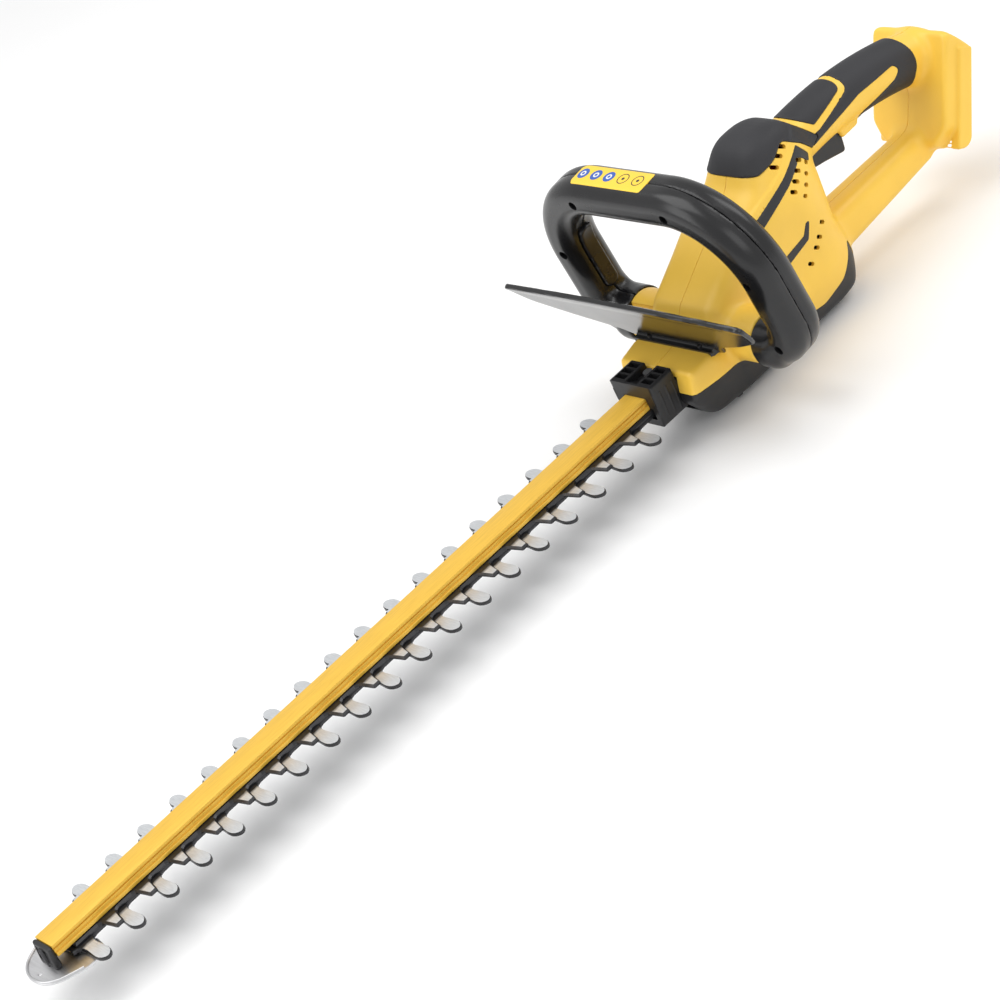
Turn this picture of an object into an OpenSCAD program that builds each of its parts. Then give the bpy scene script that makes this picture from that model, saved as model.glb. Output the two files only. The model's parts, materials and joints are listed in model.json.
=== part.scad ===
// Cordless hedge trimmer with a double-sided reciprocating blade.
// Frame: +X runs forward along the blade, +Y to the user's left, +Z up.
// The origin is on the flat sole, directly under the crank gear's axis.

/* [Body] */
// Half width of the motor body
body_half_w = 42; // [41:0.5:43]
// Height of the top of the motor hump above the sole
hump_h = 154; // [152:1:156]
// Wall thickness of the plastic housing
wall = 2.6; // [2.2:0.1:3.0]
// Thickness of the soft overmoulded pads
pad_t = 1.6; // [1.2:0.1:1.8]

/* [Rear handle] */
// Radius of the round rear grip
grip_r = 20; // [19:0.5:20.5]
// Half width of the battery foot
foot_half_w = 37; // [36.5:0.5:37.5]

/* [Front handle] */
// Half width of the loop, measured to the tube's centre line
loop_half_w = 98; // [94:1:102]
// Height of the loop's top centre line above its mounting axis
loop_rise = 120; // [116:1:123]
// Depth of the loop's tube, front to back
loop_depth = 34; // [32:1:35]
// Width of the loop's tube in the plane of the loop
loop_band = 29; // [28:1:30]

/* [Guard] */
// Width of the hand guard across its upper edge
guard_w = 258; // [250:2:262]
// Thickness of the hand guard
guard_t = 3; // [2.6:0.1:3.2]

/* [Blade] */
// Distance between neighbouring long teeth
pitch = 28.5; // [28.4:0.1:28.6]
// Distance from the blade's centre line to the long tooth tips
tooth_reach = 41.5; // [40:0.5:42]
// Thickness of each blade
blade_t = 2.5; // [2.3:0.1:2.5]
// Travel of each blade to either side of its middle position
half_stroke = 8; // [7:0.5:8]

/* [Hidden] */
$fn = 48;
// Points along each rounded corner, less one
corner_steps = 7;
// Gap kept between parts that move past each other
gap = 0.3;

// Heights of the blade stack above the sole
lower_z = 33.3;
upper_z = lower_z + blade_t + gap;
rail_z = 39;
rail_top_z = 48;
rail_start_x = 101;
rail_end_x = 670;
rail_half_w = 11.2;
first_tooth_x = 139;
// Edge and rear end of both blades' plain strip
blade_half_w = 13;
blade_rear_x = -22;
// Sleeve of the guide bolts
bolt_sleeve_r = 3;
short_tooth_dx = 7.3;
tip_x = 689;

// Long teeth on the lower blade's left edge; the right edge has one less at the tip
tooth_count = 19;

// Drive layout
gear_m = 1;
pinion_teeth = 10;
crank_teeth = 70;
motor_x = -gear_m * (pinion_teeth + crank_teeth) / 2;
gear_z = 46;
gear_h = 6;
crank_shaft_r = 5;
cam_r = 14;
can_r = 19;
can_z = 59;
can_h = 50;
can_wall = 1.6;
magnet_inner_r = 13.2;
cap_h = 3;
fan_z = can_z + can_h + cap_h + 1;
motor_shaft_r = 2;
bearing_r = 11;
motor_bearing_r = 5.5;
// Offset and thread of the screws that hold the motor to the gearbox plate
plate_screw_y = 12.5;

// Gearbox plate
plate_rear_x = -67.8;
plate_length = 105.8;
plate_half_w = 30;
plate_z = 54;
plate_t = 5;

// Front handle mounting axis, crossing the body
mount_x = 36;
mount_z = 51;
boss_r = 19;
boss_end_y = 64;
handle_bolt_r = 4;
loop_lean = 6;
loop_top_half = 38;
loop_big_r = loop_half_w - loop_top_half;
loop_small_r = 26;

// Rear grip: an arched tube, given by its arc's centre, radius and start and end angles
grip_centre = [-122, -200];
grip_arc_r = 320;
grip_from = 84;
grip_to = 109;
// Lower strut ends as [x, z, radius]
strut_front = [-82, 40, 18];
strut_back = [-204, 46, 13.5];

// Battery foot outline in the side view, as [x, z, corner radius]
foot_outline = [[-189, 46, 5], [-231, 125, 4], [-247, 101, 5], [-213, 35, 9]];

// Front of the nose at its top edge
nose_front_x = 91;
// Body outline in the side view, as [x, z, corner radius]
body_outline = [
    [97, 34, 3], [nose_front_x, 55, 4], [62, 59, 6], [50, 80, 16], [6, 109, 60],
    [-24, 124, 18], [-46, hump_h, 26], [-78, hump_h, 30], [-94, 128, 12],
    [-90, 30, 20], [-80, 6, 12], [-62, 0, 10], [45, 0, 40], [80, 8, 30]
];
// Body outline seen from the front, as [y, z, corner radius]
body_section = [
    [-24, 0, 12], [24, 0, 12], [body_half_w, 40, 20], [body_half_w, 104, 36],
    [20, hump_h + 1, 22], [-20, hump_h + 1, 22], [-body_half_w, 104, 36], [-body_half_w, 40, 20]
];
// Body outline seen from above, as [x, y, corner radius]
body_plan = [
    [98, -37, 3], [98, 37, 3], [58, body_half_w + 2, 30], [-60, body_half_w + 1, 40],
    [-95, 24, 16], [-95, -24, 16], [-60, -body_half_w - 1, 40], [58, -body_half_w - 2, 30]
];
// Line where the housing meets the bottom cover, as [x, z]
cover_line = [[112, 41], [40, 35], [0, 26], [-42, 17], [-64, 24], [-88, 43]];

// Screw posts joining the housing halves, as [x, z]
post_points = [[48, 66], [22, 86], [-82, 60], [-158, 110], [-118, 42], [-184, 46], [-204, 62]];
loop_screw_points = [[47, 119], [95, 66], [91, 8]];
guide_bolt_x = [160, 255, 350, 445, 540, 636];

// Plastic screws: thread, clearance hole, head and counterbore
screw_r = 1.5;
screw_hole_r = 1.8;
head_r = 3.2;
head_hole_r = 3.4;

yellow = [0.93, 0.70, 0.13];
black = [0.07, 0.07, 0.075];
gold = [0.85, 0.60, 0.10];
steel = [0.70, 0.70, 0.71];
dark_steel = [0.20, 0.20, 0.21];
copper = [0.72, 0.40, 0.18];
board_green = [0.10, 0.30, 0.16];

// ---------- Outline helpers ----------

function unit(v) = v / norm(v);
function left_of(v) = [-v[1], v[0]];
function turned(v, a) = [v[0] * cos(a) - v[1] * sin(a), v[0] * sin(a) + v[1] * cos(a)];
function xy(p) = [p[0], p[1]];
function reversed(v) = [for (i = [len(v) - 1 : -1 : 0]) v[i]];

// One corner at q between directions d1 and d2, rounded to radius r
function corner(q, d1, d2, r) =
    let(turn = atan2(d1[0] * d2[1] - d1[1] * d2[0], d1 * d2))
    (r < 0.05 || abs(turn) < 1) ? [q] :
    let(
        start = q - r * tan(abs(turn) / 2) * d1,
        centre = start + sign(turn) * r * left_of(d1)
    )
    [for (k = [0 : corner_steps]) centre + turned(start - centre, turn * k / corner_steps)];

// Anticlockwise outline moved inward by d, with every corner rounded
function outline(pts, d = 0) =
    let(n = len(pts))
    [for (i = [0 : n - 1])
        let(
            d1 = unit(xy(pts[i]) - xy(pts[(i + n - 1) % n])),
            d2 = unit(xy(pts[(i + 1) % n]) - xy(pts[i])),
            n1 = left_of(d1),
            n2 = left_of(d2),
            q = xy(pts[i]) + d * (n1 + n2) / (1 + n1 * n2),
            convex = d1[0] * d2[1] - d1[1] * d2[0] > 0,
            r = convex ? max(pts[i][2] - d, 0) : pts[i][2] + d
        )
        each corner(q, d1, d2, r)];

// Corners of a centred rectangle, each with radius r
function rectangle(half_x, half_y, r) =
    [[-half_x, -half_y, r], [half_x, -half_y, r], [half_x, half_y, r], [-half_x, half_y, r]];

// Side-view outline given as [x, z], spread evenly across the width
module across(half_w) {
    rotate([90, 0, 0])
        linear_extrude(2 * half_w, center = true)
            children();
}

// Front-view outline given as [y, z], run along X
module along(x0, x1) {
    translate([x0, 0, 0])
        rotate([90, 0, 90])
            linear_extrude(x1 - x0)
                children();
}

// Round bar between two side-view points
module bar_xz(a, b, r1, r2) {
    v = b - a;
    translate([a[0], 0, a[1]])
        rotate([0, atan2(v[0], v[1]), 0])
            cylinder(h = norm(v), r1 = r1, r2 = r2);
}

// Round bar running along Y
module bar_y(x, z, y0, y1, r) {
    translate([x, y1, z])
        rotate([90, 0, 0])
            cylinder(h = y1 - y0, r = r);
}

// Flat slot with round ends, centred on the origin and running along X
module slot_2d(length, width) {
    square([length - width, width], center = true);
    for (s = [-1, 1])
        translate([s * (length - width) / 2, 0])
            circle(d = width);
}

// ---------- Outer forms of the housing ----------

module body_form(d = 0) {
    intersection() {
        across(60)
            polygon(outline(body_outline, d));
        along(-110, 110)
            polygon(outline(body_section, d));
        linear_extrude(hump_h + 10)
            polygon(outline(body_plan, d));
    }
}

module grip_form(d = 0) {
    translate([grip_centre[0], 0, grip_centre[1]])
        rotate([90, 0, 0])
            rotate([0, 0, grip_from])
                rotate_extrude(angle = grip_to - grip_from, $fn = 360)
                    translate([grip_arc_r, 0])
                        circle(r = grip_r - d);
}

module strut_form(d = 0) {
    bar_xz(xy(strut_front), xy(strut_back), strut_front[2] - d, strut_back[2] - d);
}

module foot_form(d = 0) {
    across(foot_half_w - d)
        polygon(outline(foot_outline, d));
}

// Wider band around the rear of the foot that carries the battery
module foot_band() {
    foot_frame()
        translate([4, -foot_half_w - 3, -14])
            cube([66, 2 * foot_half_w + 6, 14]);
}

module boss_form(d = 0) {
    bar_y(mount_x, mount_z, -boss_end_y, boss_end_y, boss_r - d);
}

module guard_bump() {
    across(8)
        polygon(outline([[-132, 96, 1], [-129, 108, 1], [-150, 108, 1], [-147, 96, 4]]));
}

module outer_form() {
    body_form();
    grip_form();
    strut_form();
    foot_form();
    foot_band();
    boss_form();
    guard_bump();
}

module inner_form() {
    body_form(wall);
    strut_form(wall);
    intersection() {
        grip_form(wall + pad_t);
        translate([-225, -50, 80])
            cube([160, 100, 80]);
    }
    boss_form(wall);
}

// Space below the line where the bottom cover begins
module below_cover_line() {
    across(70)
        polygon([[cover_line[0][0], -5], each cover_line, [cover_line[5][0], -5]]);
}

// ---------- Regions of the soft pads, in the side view ----------

hump_region = [
    [-2, 138, 4], [-20, 134, 6], [-36, 130, 8], [-52, 133, 8], [-66, 139, 6], [-81, 127, 4],
    [-94, 113, 3], [-103, 118, 2], [-84, 143, 3], [-80, 160, 2], [0, 160, 2]
];
grip_region = [
    [-94, 113, 1], [-121, 117, 10], [-150, 121, 8], [-189, 119.5, 4], [-193, 114.5, 3],
    [-186, 110, 5], [-150, 104, 6], [-150, 80, 1], [-205, 80, 1], [-213, 132, 1], [-160, 150, 1],
    [-143, 138, 4], [-149, 131, 5], [-106, 121, 4], [-101, 121, 2]
];
thumb_region = [[-88, 142, 2], [-104, 126, 2], [-142, 133, 5], [-138, 150, 2], [-84, 150, 2]];

module region(pts, half_w = 60) {
    across(half_w)
        polygon(outline(reversed(pts)));
}

module side_half(side) {
    translate([-300, side > 0 ? 0 : -80, -20])
        cube([500, 80, 260]);
}

module hump_zone() {
    difference() {
        region(hump_region);
        body_form(pad_t);
        grip_form(pad_t);
    }
}

module grip_zone() {
    difference() {
        region(grip_region);
        body_form();
        grip_form(pad_t);
    }
}

module thumb_zone() {
    difference() {
        region(thumb_region);
        body_form(pad_t);
        grip_form(pad_t);
    }
}

// Angled trim stripes on the body's flanks
stripe_upper = [
    [-14, 102, 1], [-50, 113, 20], [-72, 122, 1], [-80, 113, 1], [-84, 117, 1],
    [-75, 130, 1], [-50, 120, 20], [-14, 109, 1]
];
stripe_lower = [[-22, 66, 1], [-46, 71, 1], [-53, 83, 1], [-49, 83, 1], [-43, 76, 1], [-22, 73, 1]];

module stripe_zone(side) {
    difference() {
        intersection() {
            union() {
                region(stripe_upper);
                region(stripe_lower);
            }
            side_half(side);
            translate([-200, side > 0 ? 8 : -68, 0])
                cube([300, 60, 200]);
        }
        body_form(pad_t);
    }
}

// ---------- Housing ----------

vent_top = [[-64, 136], [-57, 133], [-49, 129]];
vent_lower = [[-64, 73], [-56, 66], [-50, 61], [-40, 54]];

module vent(x, z, length = 7.5) {
    translate([x, 0, z])
        rotate([90, -35, 0])
            linear_extrude(140, center = true)
                slot_2d(length, 2.6);
}

module vents() {
    for (p = vent_top)
        vent(p[0], p[1]);
    for (k = [0 : 3]) {
        vent(-70 + k * 6.3, 121 - k * 4.5, 6.5);
        vent(-76 + k * 5.8, 115 - k * 5.3, 4);
    }
    for (p = vent_lower)
        vent(p[0], p[1], 6);
}

function foot_dir() = unit(xy(foot_outline[3]) - xy(foot_outline[2]));

// Frame of the foot's back face: X runs down the face, Z points out of it
module foot_frame() {
    d = foot_dir();
    multmatrix([
        [d[0], 0, d[1], foot_outline[2][0]],
        [0, 1, 0, 0],
        [d[1], 0, -d[0], foot_outline[2][1]],
        [0, 0, 0, 1]
    ])
        children();
}

// Battery slot cut into the back of the foot, open at its lower end
module battery_slot() {
    foot_frame() {
        translate([4, -32, -13])
            cube([100, 64, 8]);
        translate([4, -27, -6])
            cube([100, 54, 16]);
    }
}

module screw_posts(side) {
    for (p = post_points)
        bar_y(p[0], p[1], side > 0 ? 0 : -60, side > 0 ? 60 : 0, 4.5);
    // Bosses that hold the ends of the trigger's pin
    bar_y(trigger_pivot[0], trigger_pivot[1], side > 0 ? 6.5 : -30, side > 0 ? 30 : -6.5, 3.5);
}

// Bosses that take the bottom cover's screws
module cover_bosses(side) {
    for (p = cover_post_points)
        if (p[1] * side > 0)
            translate([p[0], 0, 22]) {
                translate([0, p[1], 0])
                    cylinder(h = 12, r = 4.5);
                translate([-1.5, side > 0 ? p[1] : -50, 0])
                    cube([3, 50 - side * p[1], 12]);
            }
}

module housing_half(side) {
    difference() {
        intersection() {
            side_half(side);
            union() {
                difference() {
                    outer_form();
                    inner_form();
                }
                intersection() {
                    outer_form();
                    screw_posts(side);
                }
                intersection() {
                    body_form();
                    union() {
                        mount_ribs(side);
                        cover_bosses(side);
                    }
                }
            }
        }
        below_cover_line();
        hump_zone();
        grip_zone();
        thumb_zone();
        stripe_zone(side);
        vents();
        battery_slot();
        terminal_pocket();
        trigger_opening();
        for (p = post_points)
            post_bore(p, side);
        nose_opening();
        guard_bores(screw_r);
        // Bore for the handle's mounting bolt
        bar_y(mount_x, mount_z, side * boss_end_y - 10, side * boss_end_y + 10, handle_bolt_r);
        bar_y(trigger_pivot[0], trigger_pivot[1], -12, 12, trigger_pin_r);
        for (p = cover_post_points)
            translate([p[0], p[1], 20])
                cylinder(h = 11, r = screw_r);
        plate_seat();
    }
}

// Right posts are drilled through for the screw, left posts take its thread
module post_bore(p, side) {
    if (side > 0)
        bar_y(p[0], p[1], -1, 11, screw_r);
    else {
        bar_y(p[0], p[1], -20, 1, screw_hole_r);
        bar_y(p[0], p[1], -70, -6, head_hole_r);
    }
}

// Ribs that carry the gearbox plate and the motor
module mount_ribs(side) {
    for (x = [-62, 34])
        translate([x - 1.2, side > 0 ? 26 : -46, 40])
            cube([2.4, 20, 34]);
    translate([motor_x - 12, side > 0 ? can_r : -46, 96])
        cube([24, 46 - can_r, 3]);
}

module plate_seat() {
    translate([plate_rear_x, -plate_half_w, plate_z])
        cube([plate_length, 2 * plate_half_w, plate_t]);
}

module nose_opening() {
    translate([60, -clamp_half_w - gap, 20])
        cube([60, 2 * (clamp_half_w + gap), 31]);
}

module terminal_pocket() {
    foot_frame()
        translate([10, -18, -19])
            cube([22, 36, 12]);
}

module trigger_opening() {
    translate([-137, -6.3, 84])
        cube([50, 12.6, 26]);
}

module housing_left() {
    color(yellow) housing_half(1);
}

module housing_right() {
    color(yellow) housing_half(-1);
}

module housing_screws() {
    color(dark_steel)
        for (p = post_points) {
            bar_y(p[0], p[1], -6, 10, screw_r);
            bar_y(p[0], p[1], -8.4, -6, head_r);
        }
}

module hump_pad() {
    color(black)
        intersection() {
            hump_zone();
            union() {
                body_form();
                grip_form();
            }
        }
}

module thumb_pad() {
    color(black)
        intersection() {
            thumb_zone();
            union() {
                body_form();
                grip_form();
            }
        }
}

module grip_pad(side) {
    difference() {
        intersection() {
            grip_zone();
            grip_form();
            side_half(side);
        }
        hump_zone();
        thumb_zone();
        foot_form();
        trigger_opening();
        guard_bump();
    }
}

module grip_pad_left() {
    color(black) grip_pad(1);
}

module grip_pad_right() {
    color(black) grip_pad(-1);
}

module side_trim(side) {
    difference() {
        intersection() {
            stripe_zone(side);
            body_form();
        }
        vents();
    }
}

module side_trim_left() {
    color(black) side_trim(1);
}

module side_trim_right() {
    color(black) side_trim(-1);
}

cover_post_points = [[50, 20], [50, -20], [-62, 17], [-62, -17]];

module bottom_cover() {
    color(black)
        difference() {
            union() {
                intersection() {
                    below_cover_line();
                    difference() {
                        body_form();
                        body_form(wall);
                    }
                }
                for (p = cover_post_points)
                    intersection() {
                        translate([p[0], p[1], 0])
                            cylinder(h = 22, r = 4.5);
                        body_form();
                    }
                // Collar for the crank's lower bearing
                difference() {
                    cylinder(h = 20, r = 14);
                    translate([0, 0, 8])
                        cylinder(h = 20, r = bearing_r);
                }
            }
            nose_opening();
            for (p = cover_post_points) {
                translate([p[0], p[1], -1])
                    cylinder(h = 7, r = head_hole_r);
                translate([p[0], p[1], -1])
                    cylinder(h = 30, r = screw_hole_r);
            }
        }
}

module cover_screws() {
    color(dark_steel)
        for (p = cover_post_points)
            translate([p[0], p[1], 0]) {
                translate([0, 0, 3.4])
                    cylinder(h = 2.6, r = head_r);
                translate([0, 0, 5])
                    cylinder(h = 25, r = screw_r);
            }
}

// ---------- Battery contacts ----------

module terminal_block() {
    color(black)
        foot_frame()
            difference() {
                translate([10, -18, -19])
                    cube([22, 36, 12]);
                for (y = [-12, 0, 12])
                    translate([14, y - 2, -13])
                        cube([20, 4, 8]);
            }
}

module terminal_blades() {
    color(copper)
        foot_frame()
            for (y = [-12, 0, 12])
                translate([15, y - 0.5, -13])
                    cube([14, 1, 5.5]);
}

// ---------- Trigger and electrics ----------

trigger_pivot = [-93, 96];
trigger_pin_r = 1.5;
trigger_outline = [
    [-88.5, 93, 2], [-91, 100, 3], [-124, 106, 3], [-134, 104, 3], [-131.5, 84, 3], [-112, 88.5, 30]
];

module trigger() {
    color(black)
        difference() {
            across(5.8)
                polygon(outline(trigger_outline));
            bar_y(trigger_pivot[0], trigger_pivot[1], -10, 10, trigger_pin_r + 0.05);
        }
}

module trigger_pin() {
    color(steel)
        bar_y(trigger_pivot[0], trigger_pivot[1], -12, 12, trigger_pin_r);
}

module trigger_switch() {
    color(dark_steel)
        translate([-130, -7, 110.5])
            cube([26, 14, 12]);
}

// Wires from the battery contacts to the switch, and on to the motor
wire_r = 1.1;
wire_runs = [
    [[-217, 104], [-200, 112], [-172, 121], [-130.5, 119]],
    [[-103.5, 118], [-84, 114], [-66, 108], [-59.2, 104]]
];

module wires() {
    color(copper)
        for (y = [-3, 3])
            translate([0, y, 0])
                for (run = wire_runs)
                    across(wire_r)
                        polygon(concat(
                            [for (p = run) p + [0, wire_r]],
                            [for (p = reversed(run)) p - [0, wire_r]]
                        ));
}

module control_board() {
    color(board_green)
        translate([-176, -9, 42])
            cube([50, 18, 1.6]);
}

// ---------- Front loop handle ----------

// Loop frame: origin on the mounting axis, leaning forward with height
module loop_frame() {
    translate([mount_x, 0, mount_z])
        rotate([0, loop_lean, 0])
            children();
}

module round_bar_2d(w, h) {
    polygon(outline(rectangle(w / 2, h / 2, 11)));
}

module loop_tube(d = 0) {
    // Straight top
    translate([0, -loop_top_half, loop_rise])
        rotate([-90, 90, 0])
            linear_extrude(2 * loop_top_half)
                round_bar_2d(loop_band - 2 * d, loop_depth - 2 * d);
    for (s = [-1, 1])
        mirror([0, s < 0 ? 1 : 0, 0]) {
            // Upper bend
            translate([0, loop_top_half, loop_rise - loop_big_r])
                rotate([90, 0, 90])
                    rotate_extrude(angle = 90, $fn = 96)
                        translate([loop_big_r, 0])
                            round_bar_2d(loop_band - 2 * d, loop_depth - 2 * d);
            // Leg
            translate([0, loop_half_w, loop_small_r])
                linear_extrude(loop_rise - loop_big_r - loop_small_r)
                    rotate(90)
                        round_bar_2d(loop_band - 2 * d, loop_depth - 2 * d);
            // Lower bend, turning in to the body
            translate([0, loop_half_w - loop_small_r, loop_small_r])
                rotate([90, 0, 90])
                    rotate([0, 0, -90])
                        rotate_extrude(angle = 90, $fn = 96)
                            translate([loop_small_r, 0])
                                round_bar_2d(loop_band - 2 * d, loop_depth - 2 * d);
            translate([0, boss_end_y, 0])
                rotate([-90, 90, 0])
                    linear_extrude(loop_half_w - loop_small_r - boss_end_y)
                        round_bar_2d(loop_band - 2 * d, loop_depth - 2 * d);
        }
}

module loop_front_side(front) {
    translate([front ? 0 : -60, -160, -60])
        cube([60, 320, 260]);
}

module loop_posts() {
    for (s = [-1, 1])
        for (p = loop_screw_points)
            translate([-loop_depth / 2, s * p[0], p[1]])
                rotate([0, 90, 0])
                    cylinder(h = loop_depth, r = 4.6);
}

// How far in front of the loop's middle plane the screw heads sit
loop_head_x = 7;

module loop_bores(front) {
    for (s = [-1, 1])
        for (p = loop_screw_points)
            translate([0, s * p[0], p[1]])
                rotate([0, 90, 0]) {
                    translate([0, 0, -12])
                        cylinder(h = 40, r = front ? screw_hole_r : screw_r);
                    if (front)
                        translate([0, 0, loop_head_x])
                            cylinder(h = 20, r = head_hole_r);
                }
}

module loop_half(front) {
    loop_frame()
        difference() {
            intersection() {
                loop_front_side(front);
                union() {
                    difference() {
                        loop_tube();
                        loop_tube(wall);
                    }
                    intersection() {
                        loop_tube();
                        loop_posts();
                    }
                    intersection() {
                        loop_tube();
                        loop_end_walls();
                    }
                }
            }
            loop_bores(front);
            label_seat();
            bar_slot();
            // Bore for the mounting bolt at each end
            rotate([90, 0, 0])
                cylinder(h = 2 * boss_end_y + 14, r = handle_bolt_r, center = true);
        }
}

module loop_end_walls() {
    for (s = [-1, 1])
        translate([-20, s > 0 ? boss_end_y : -boss_end_y - 5, -20])
            cube([40, 5, 40]);
}

// Label on top of the loop, in a shallow seat
label_half_x = 9.5;
label_half_y = 35;
label_centre_y = -9;
label_z = loop_rise + loop_band / 2 - 0.6;

module label_seat() {
    translate([-label_half_x, label_centre_y - label_half_y, label_z])
        cube([2 * label_half_x, 2 * label_half_y, 5]);
}

bar_from_z = 26;
bar_angle = 38;
// How far the bar stands into the opening, and how deep it is
bar_proud = 3;
bar_depth = 7;
bar_half_x = 6;
bar_inner_r = loop_big_r - loop_band / 2 - bar_proud;

// Strip that follows the inner edge of the right leg and its upper bend
module bar_strip(half_x, low_z, angle, inner_r, thick) {
    mirror([0, 1, 0]) {
        translate([-half_x, loop_top_half + inner_r, low_z])
            cube([2 * half_x, thick, loop_rise - loop_big_r - low_z]);
        translate([0, loop_top_half, loop_rise - loop_big_r])
            rotate([90, 0, 90])
                rotate_extrude(angle = angle, $fn = 96)
                    translate([inner_r, -half_x])
                        square([thick, 2 * half_x]);
    }
}

module bar_slot() {
    bar_strip(bar_half_x + 0.4, bar_from_z - 0.5, bar_angle + 5, bar_inner_r + 1, bar_depth + 2);
}

module loop_front() {
    color(black) loop_half(true);
}

module loop_rear() {
    color(black) loop_half(false);
}

module loop_screws() {
    color(dark_steel)
        loop_frame()
            for (s = [-1, 1])
                for (p = loop_screw_points)
                    translate([0, s * p[0], p[1]])
                        rotate([0, 90, 0]) {
                            translate([0, 0, -10])
                                cylinder(h = loop_head_x + 10, r = screw_r);
                            translate([0, 0, loop_head_x])
                                cylinder(h = 2.4, r = head_r);
                        }
}

module loop_label() {
    color(yellow)
        loop_frame()
            translate([0, label_centre_y, label_z])
                linear_extrude(0.8)
                    polygon(outline(rectangle(label_half_x - 0.2, label_half_y - 0.2, 3)));
}

module switch_bar() {
    color(black)
        loop_frame()
            bar_strip(bar_half_x, bar_from_z, bar_angle, bar_inner_r, bar_depth);
}

module front_switch() {
    color(dark_steel)
        loop_frame()
            translate([-5, -loop_half_w - 8, 36])
                cube([10, 7, 20]);
}

module handle_bolts() {
    color(dark_steel)
        for (s = [-1, 1])
            mirror([0, s < 0 ? 1 : 0, 0]) {
                bar_y(mount_x, mount_z, boss_end_y - wall - 5, boss_end_y - wall, 7);
                bar_y(mount_x, mount_z, boss_end_y - wall, boss_end_y + 6.5, handle_bolt_r);
            }
}

// ---------- Hand guard ----------

guard_base_x = 63;
guard_base_z = 57;
guard_tilt = 32.5;
guard_screw_x = 67;
guard_screw_y = [-26, 26];

module guard_frame() {
    translate([guard_base_x, 0, guard_base_z])
        rotate([0, guard_tilt, 0])
            children();
}

module guard_2d() {
    w = guard_w / 2;
    polygon(outline([
        [-44, -4, 3], [44, -4, 3], [52, 9, 16], [88, 25, 40], [w - 12, 41, 20], [w, 67, 7],
        [50, 71, 60], [0, 72, 60], [-50, 71, 60], [-w, 67, 7], [-w + 12, 41, 20], [-88, 25, 40],
        [-52, 9, 16]
    ]));
}

module hand_guard() {
    color(black)
        difference() {
            union() {
                guard_frame()
                    translate([-guard_t / 2, 0, 0])
                        rotate([90, 0, 90])
                            linear_extrude(guard_t)
                                guard_2d();
                guard_foot();
            }
            body_form();
            guard_bores(screw_hole_r);
        }
}

// Foot of the guard, lying on the nose in front of the body
module guard_foot() {
    intersection() {
        translate([60, -41, 54])
            cube([14, 82, 9]);
        across(60)
            polygon([[58, 50], [58, 63], [66, 63], [72, 60], [72, 50]]);
    }
}

module guard_bores(r) {
    for (y = guard_screw_y)
        translate([guard_screw_x, y, 40])
            cylinder(h = 30, r = r);
}

module guard_screws() {
    color(dark_steel)
        for (y = guard_screw_y)
            translate([guard_screw_x, y, 50])
                cylinder(h = 11, r = screw_r);
}

// ---------- Blade clamp, rail and blades ----------

clamp_half_w = 21.5;
clamp_front_x = 116;
clamp_top_z = 59;
clamp_screw_x = 97.5;
// Depth of the open channel along the middle of the clamp's top
clamp_channel = 5;
clamp_rear_x = 84;
clamp_base_z = 25;
// Half width of the gap that the blades slide through
clamp_gap_half_w = 14.5;

module blade_clamp() {
    block_x = nose_front_x + 1.6;
    roof_z = rail_z + gap;
    length = clamp_front_x - clamp_rear_x;
    color(black)
        difference() {
            union() {
                // Front block, standing above the rail
                translate([block_x, -clamp_half_w, roof_z])
                    cube([clamp_front_x - block_x, 2 * clamp_half_w, clamp_top_z - roof_z]);
                // Tenon inside the nose
                translate([clamp_rear_x, -clamp_half_w, roof_z])
                    cube([12, 2 * clamp_half_w, 11.4]);
                // Bar under the blades, and the side walls that join it to the block
                translate([clamp_rear_x, -clamp_half_w, clamp_base_z])
                    cube([length, 2 * clamp_half_w, 5.4]);
                for (s = [-1, 1])
                    translate([clamp_rear_x, s > 0 ? clamp_gap_half_w : -clamp_half_w, clamp_base_z])
                        cube([length, clamp_half_w - clamp_gap_half_w, 20]);
            }
            // Channel for the rail
            translate([rail_start_x, -rail_half_w, 30])
                cube([40, 2 * rail_half_w, rail_top_z - 30]);
            // Channel along the top, closed in front by a wall
            translate([80, -6, clamp_top_z - clamp_channel])
                cube([clamp_front_x - 3 - 80, 12, 10]);
            // Pockets to either side of the channel
            for (s = [-1, 1])
                for (k = [0 : 2])
                    translate([94.5 + k * 6.4, s * 13.5 - 5, clamp_top_z - 7])
                        cube([4.6, 10, 10]);
            translate([clamp_screw_x, 0, 20])
                cylinder(h = 40, r = 2.1);
        }
}

module clamp_screw() {
    shank = clamp_top_z - clamp_channel - rail_z - gap;
    color(steel)
        translate([clamp_screw_x, 0, rail_z + gap]) {
            cylinder(h = shank + 1, r = 2);
            translate([0, 0, shank])
                cylinder(h = 2.6, r = 3.6);
        }
}

module rail_2d() {
    difference() {
        polygon(outline([
            [-rail_half_w, rail_z, 0.6], [rail_half_w, rail_z, 0.6], [rail_half_w, 42, 0.5],
            [10.3, 42.6, 0.3], [9.7, 45.4, 0.4], [10.3, 46, 0.3], [10.3, rail_top_z, 0.8],
            [-10.3, rail_top_z, 0.8], [-10.3, 46, 0.3], [-9.7, 45.4, 0.4], [-10.3, 42.6, 0.3],
            [-rail_half_w, 42, 0.5]
        ]));
        translate([0, rail_z + 2.2])
            square([12, 4.4], center = true);
    }
}

module rail() {
    color(gold)
        difference() {
            along(rail_start_x, rail_end_x)
                rail_2d();
            for (x = guide_bolt_x)
                translate([x, 0, rail_z - 1])
                    cylinder(h = 8.5, r = 2.5);
        }
}

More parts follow.
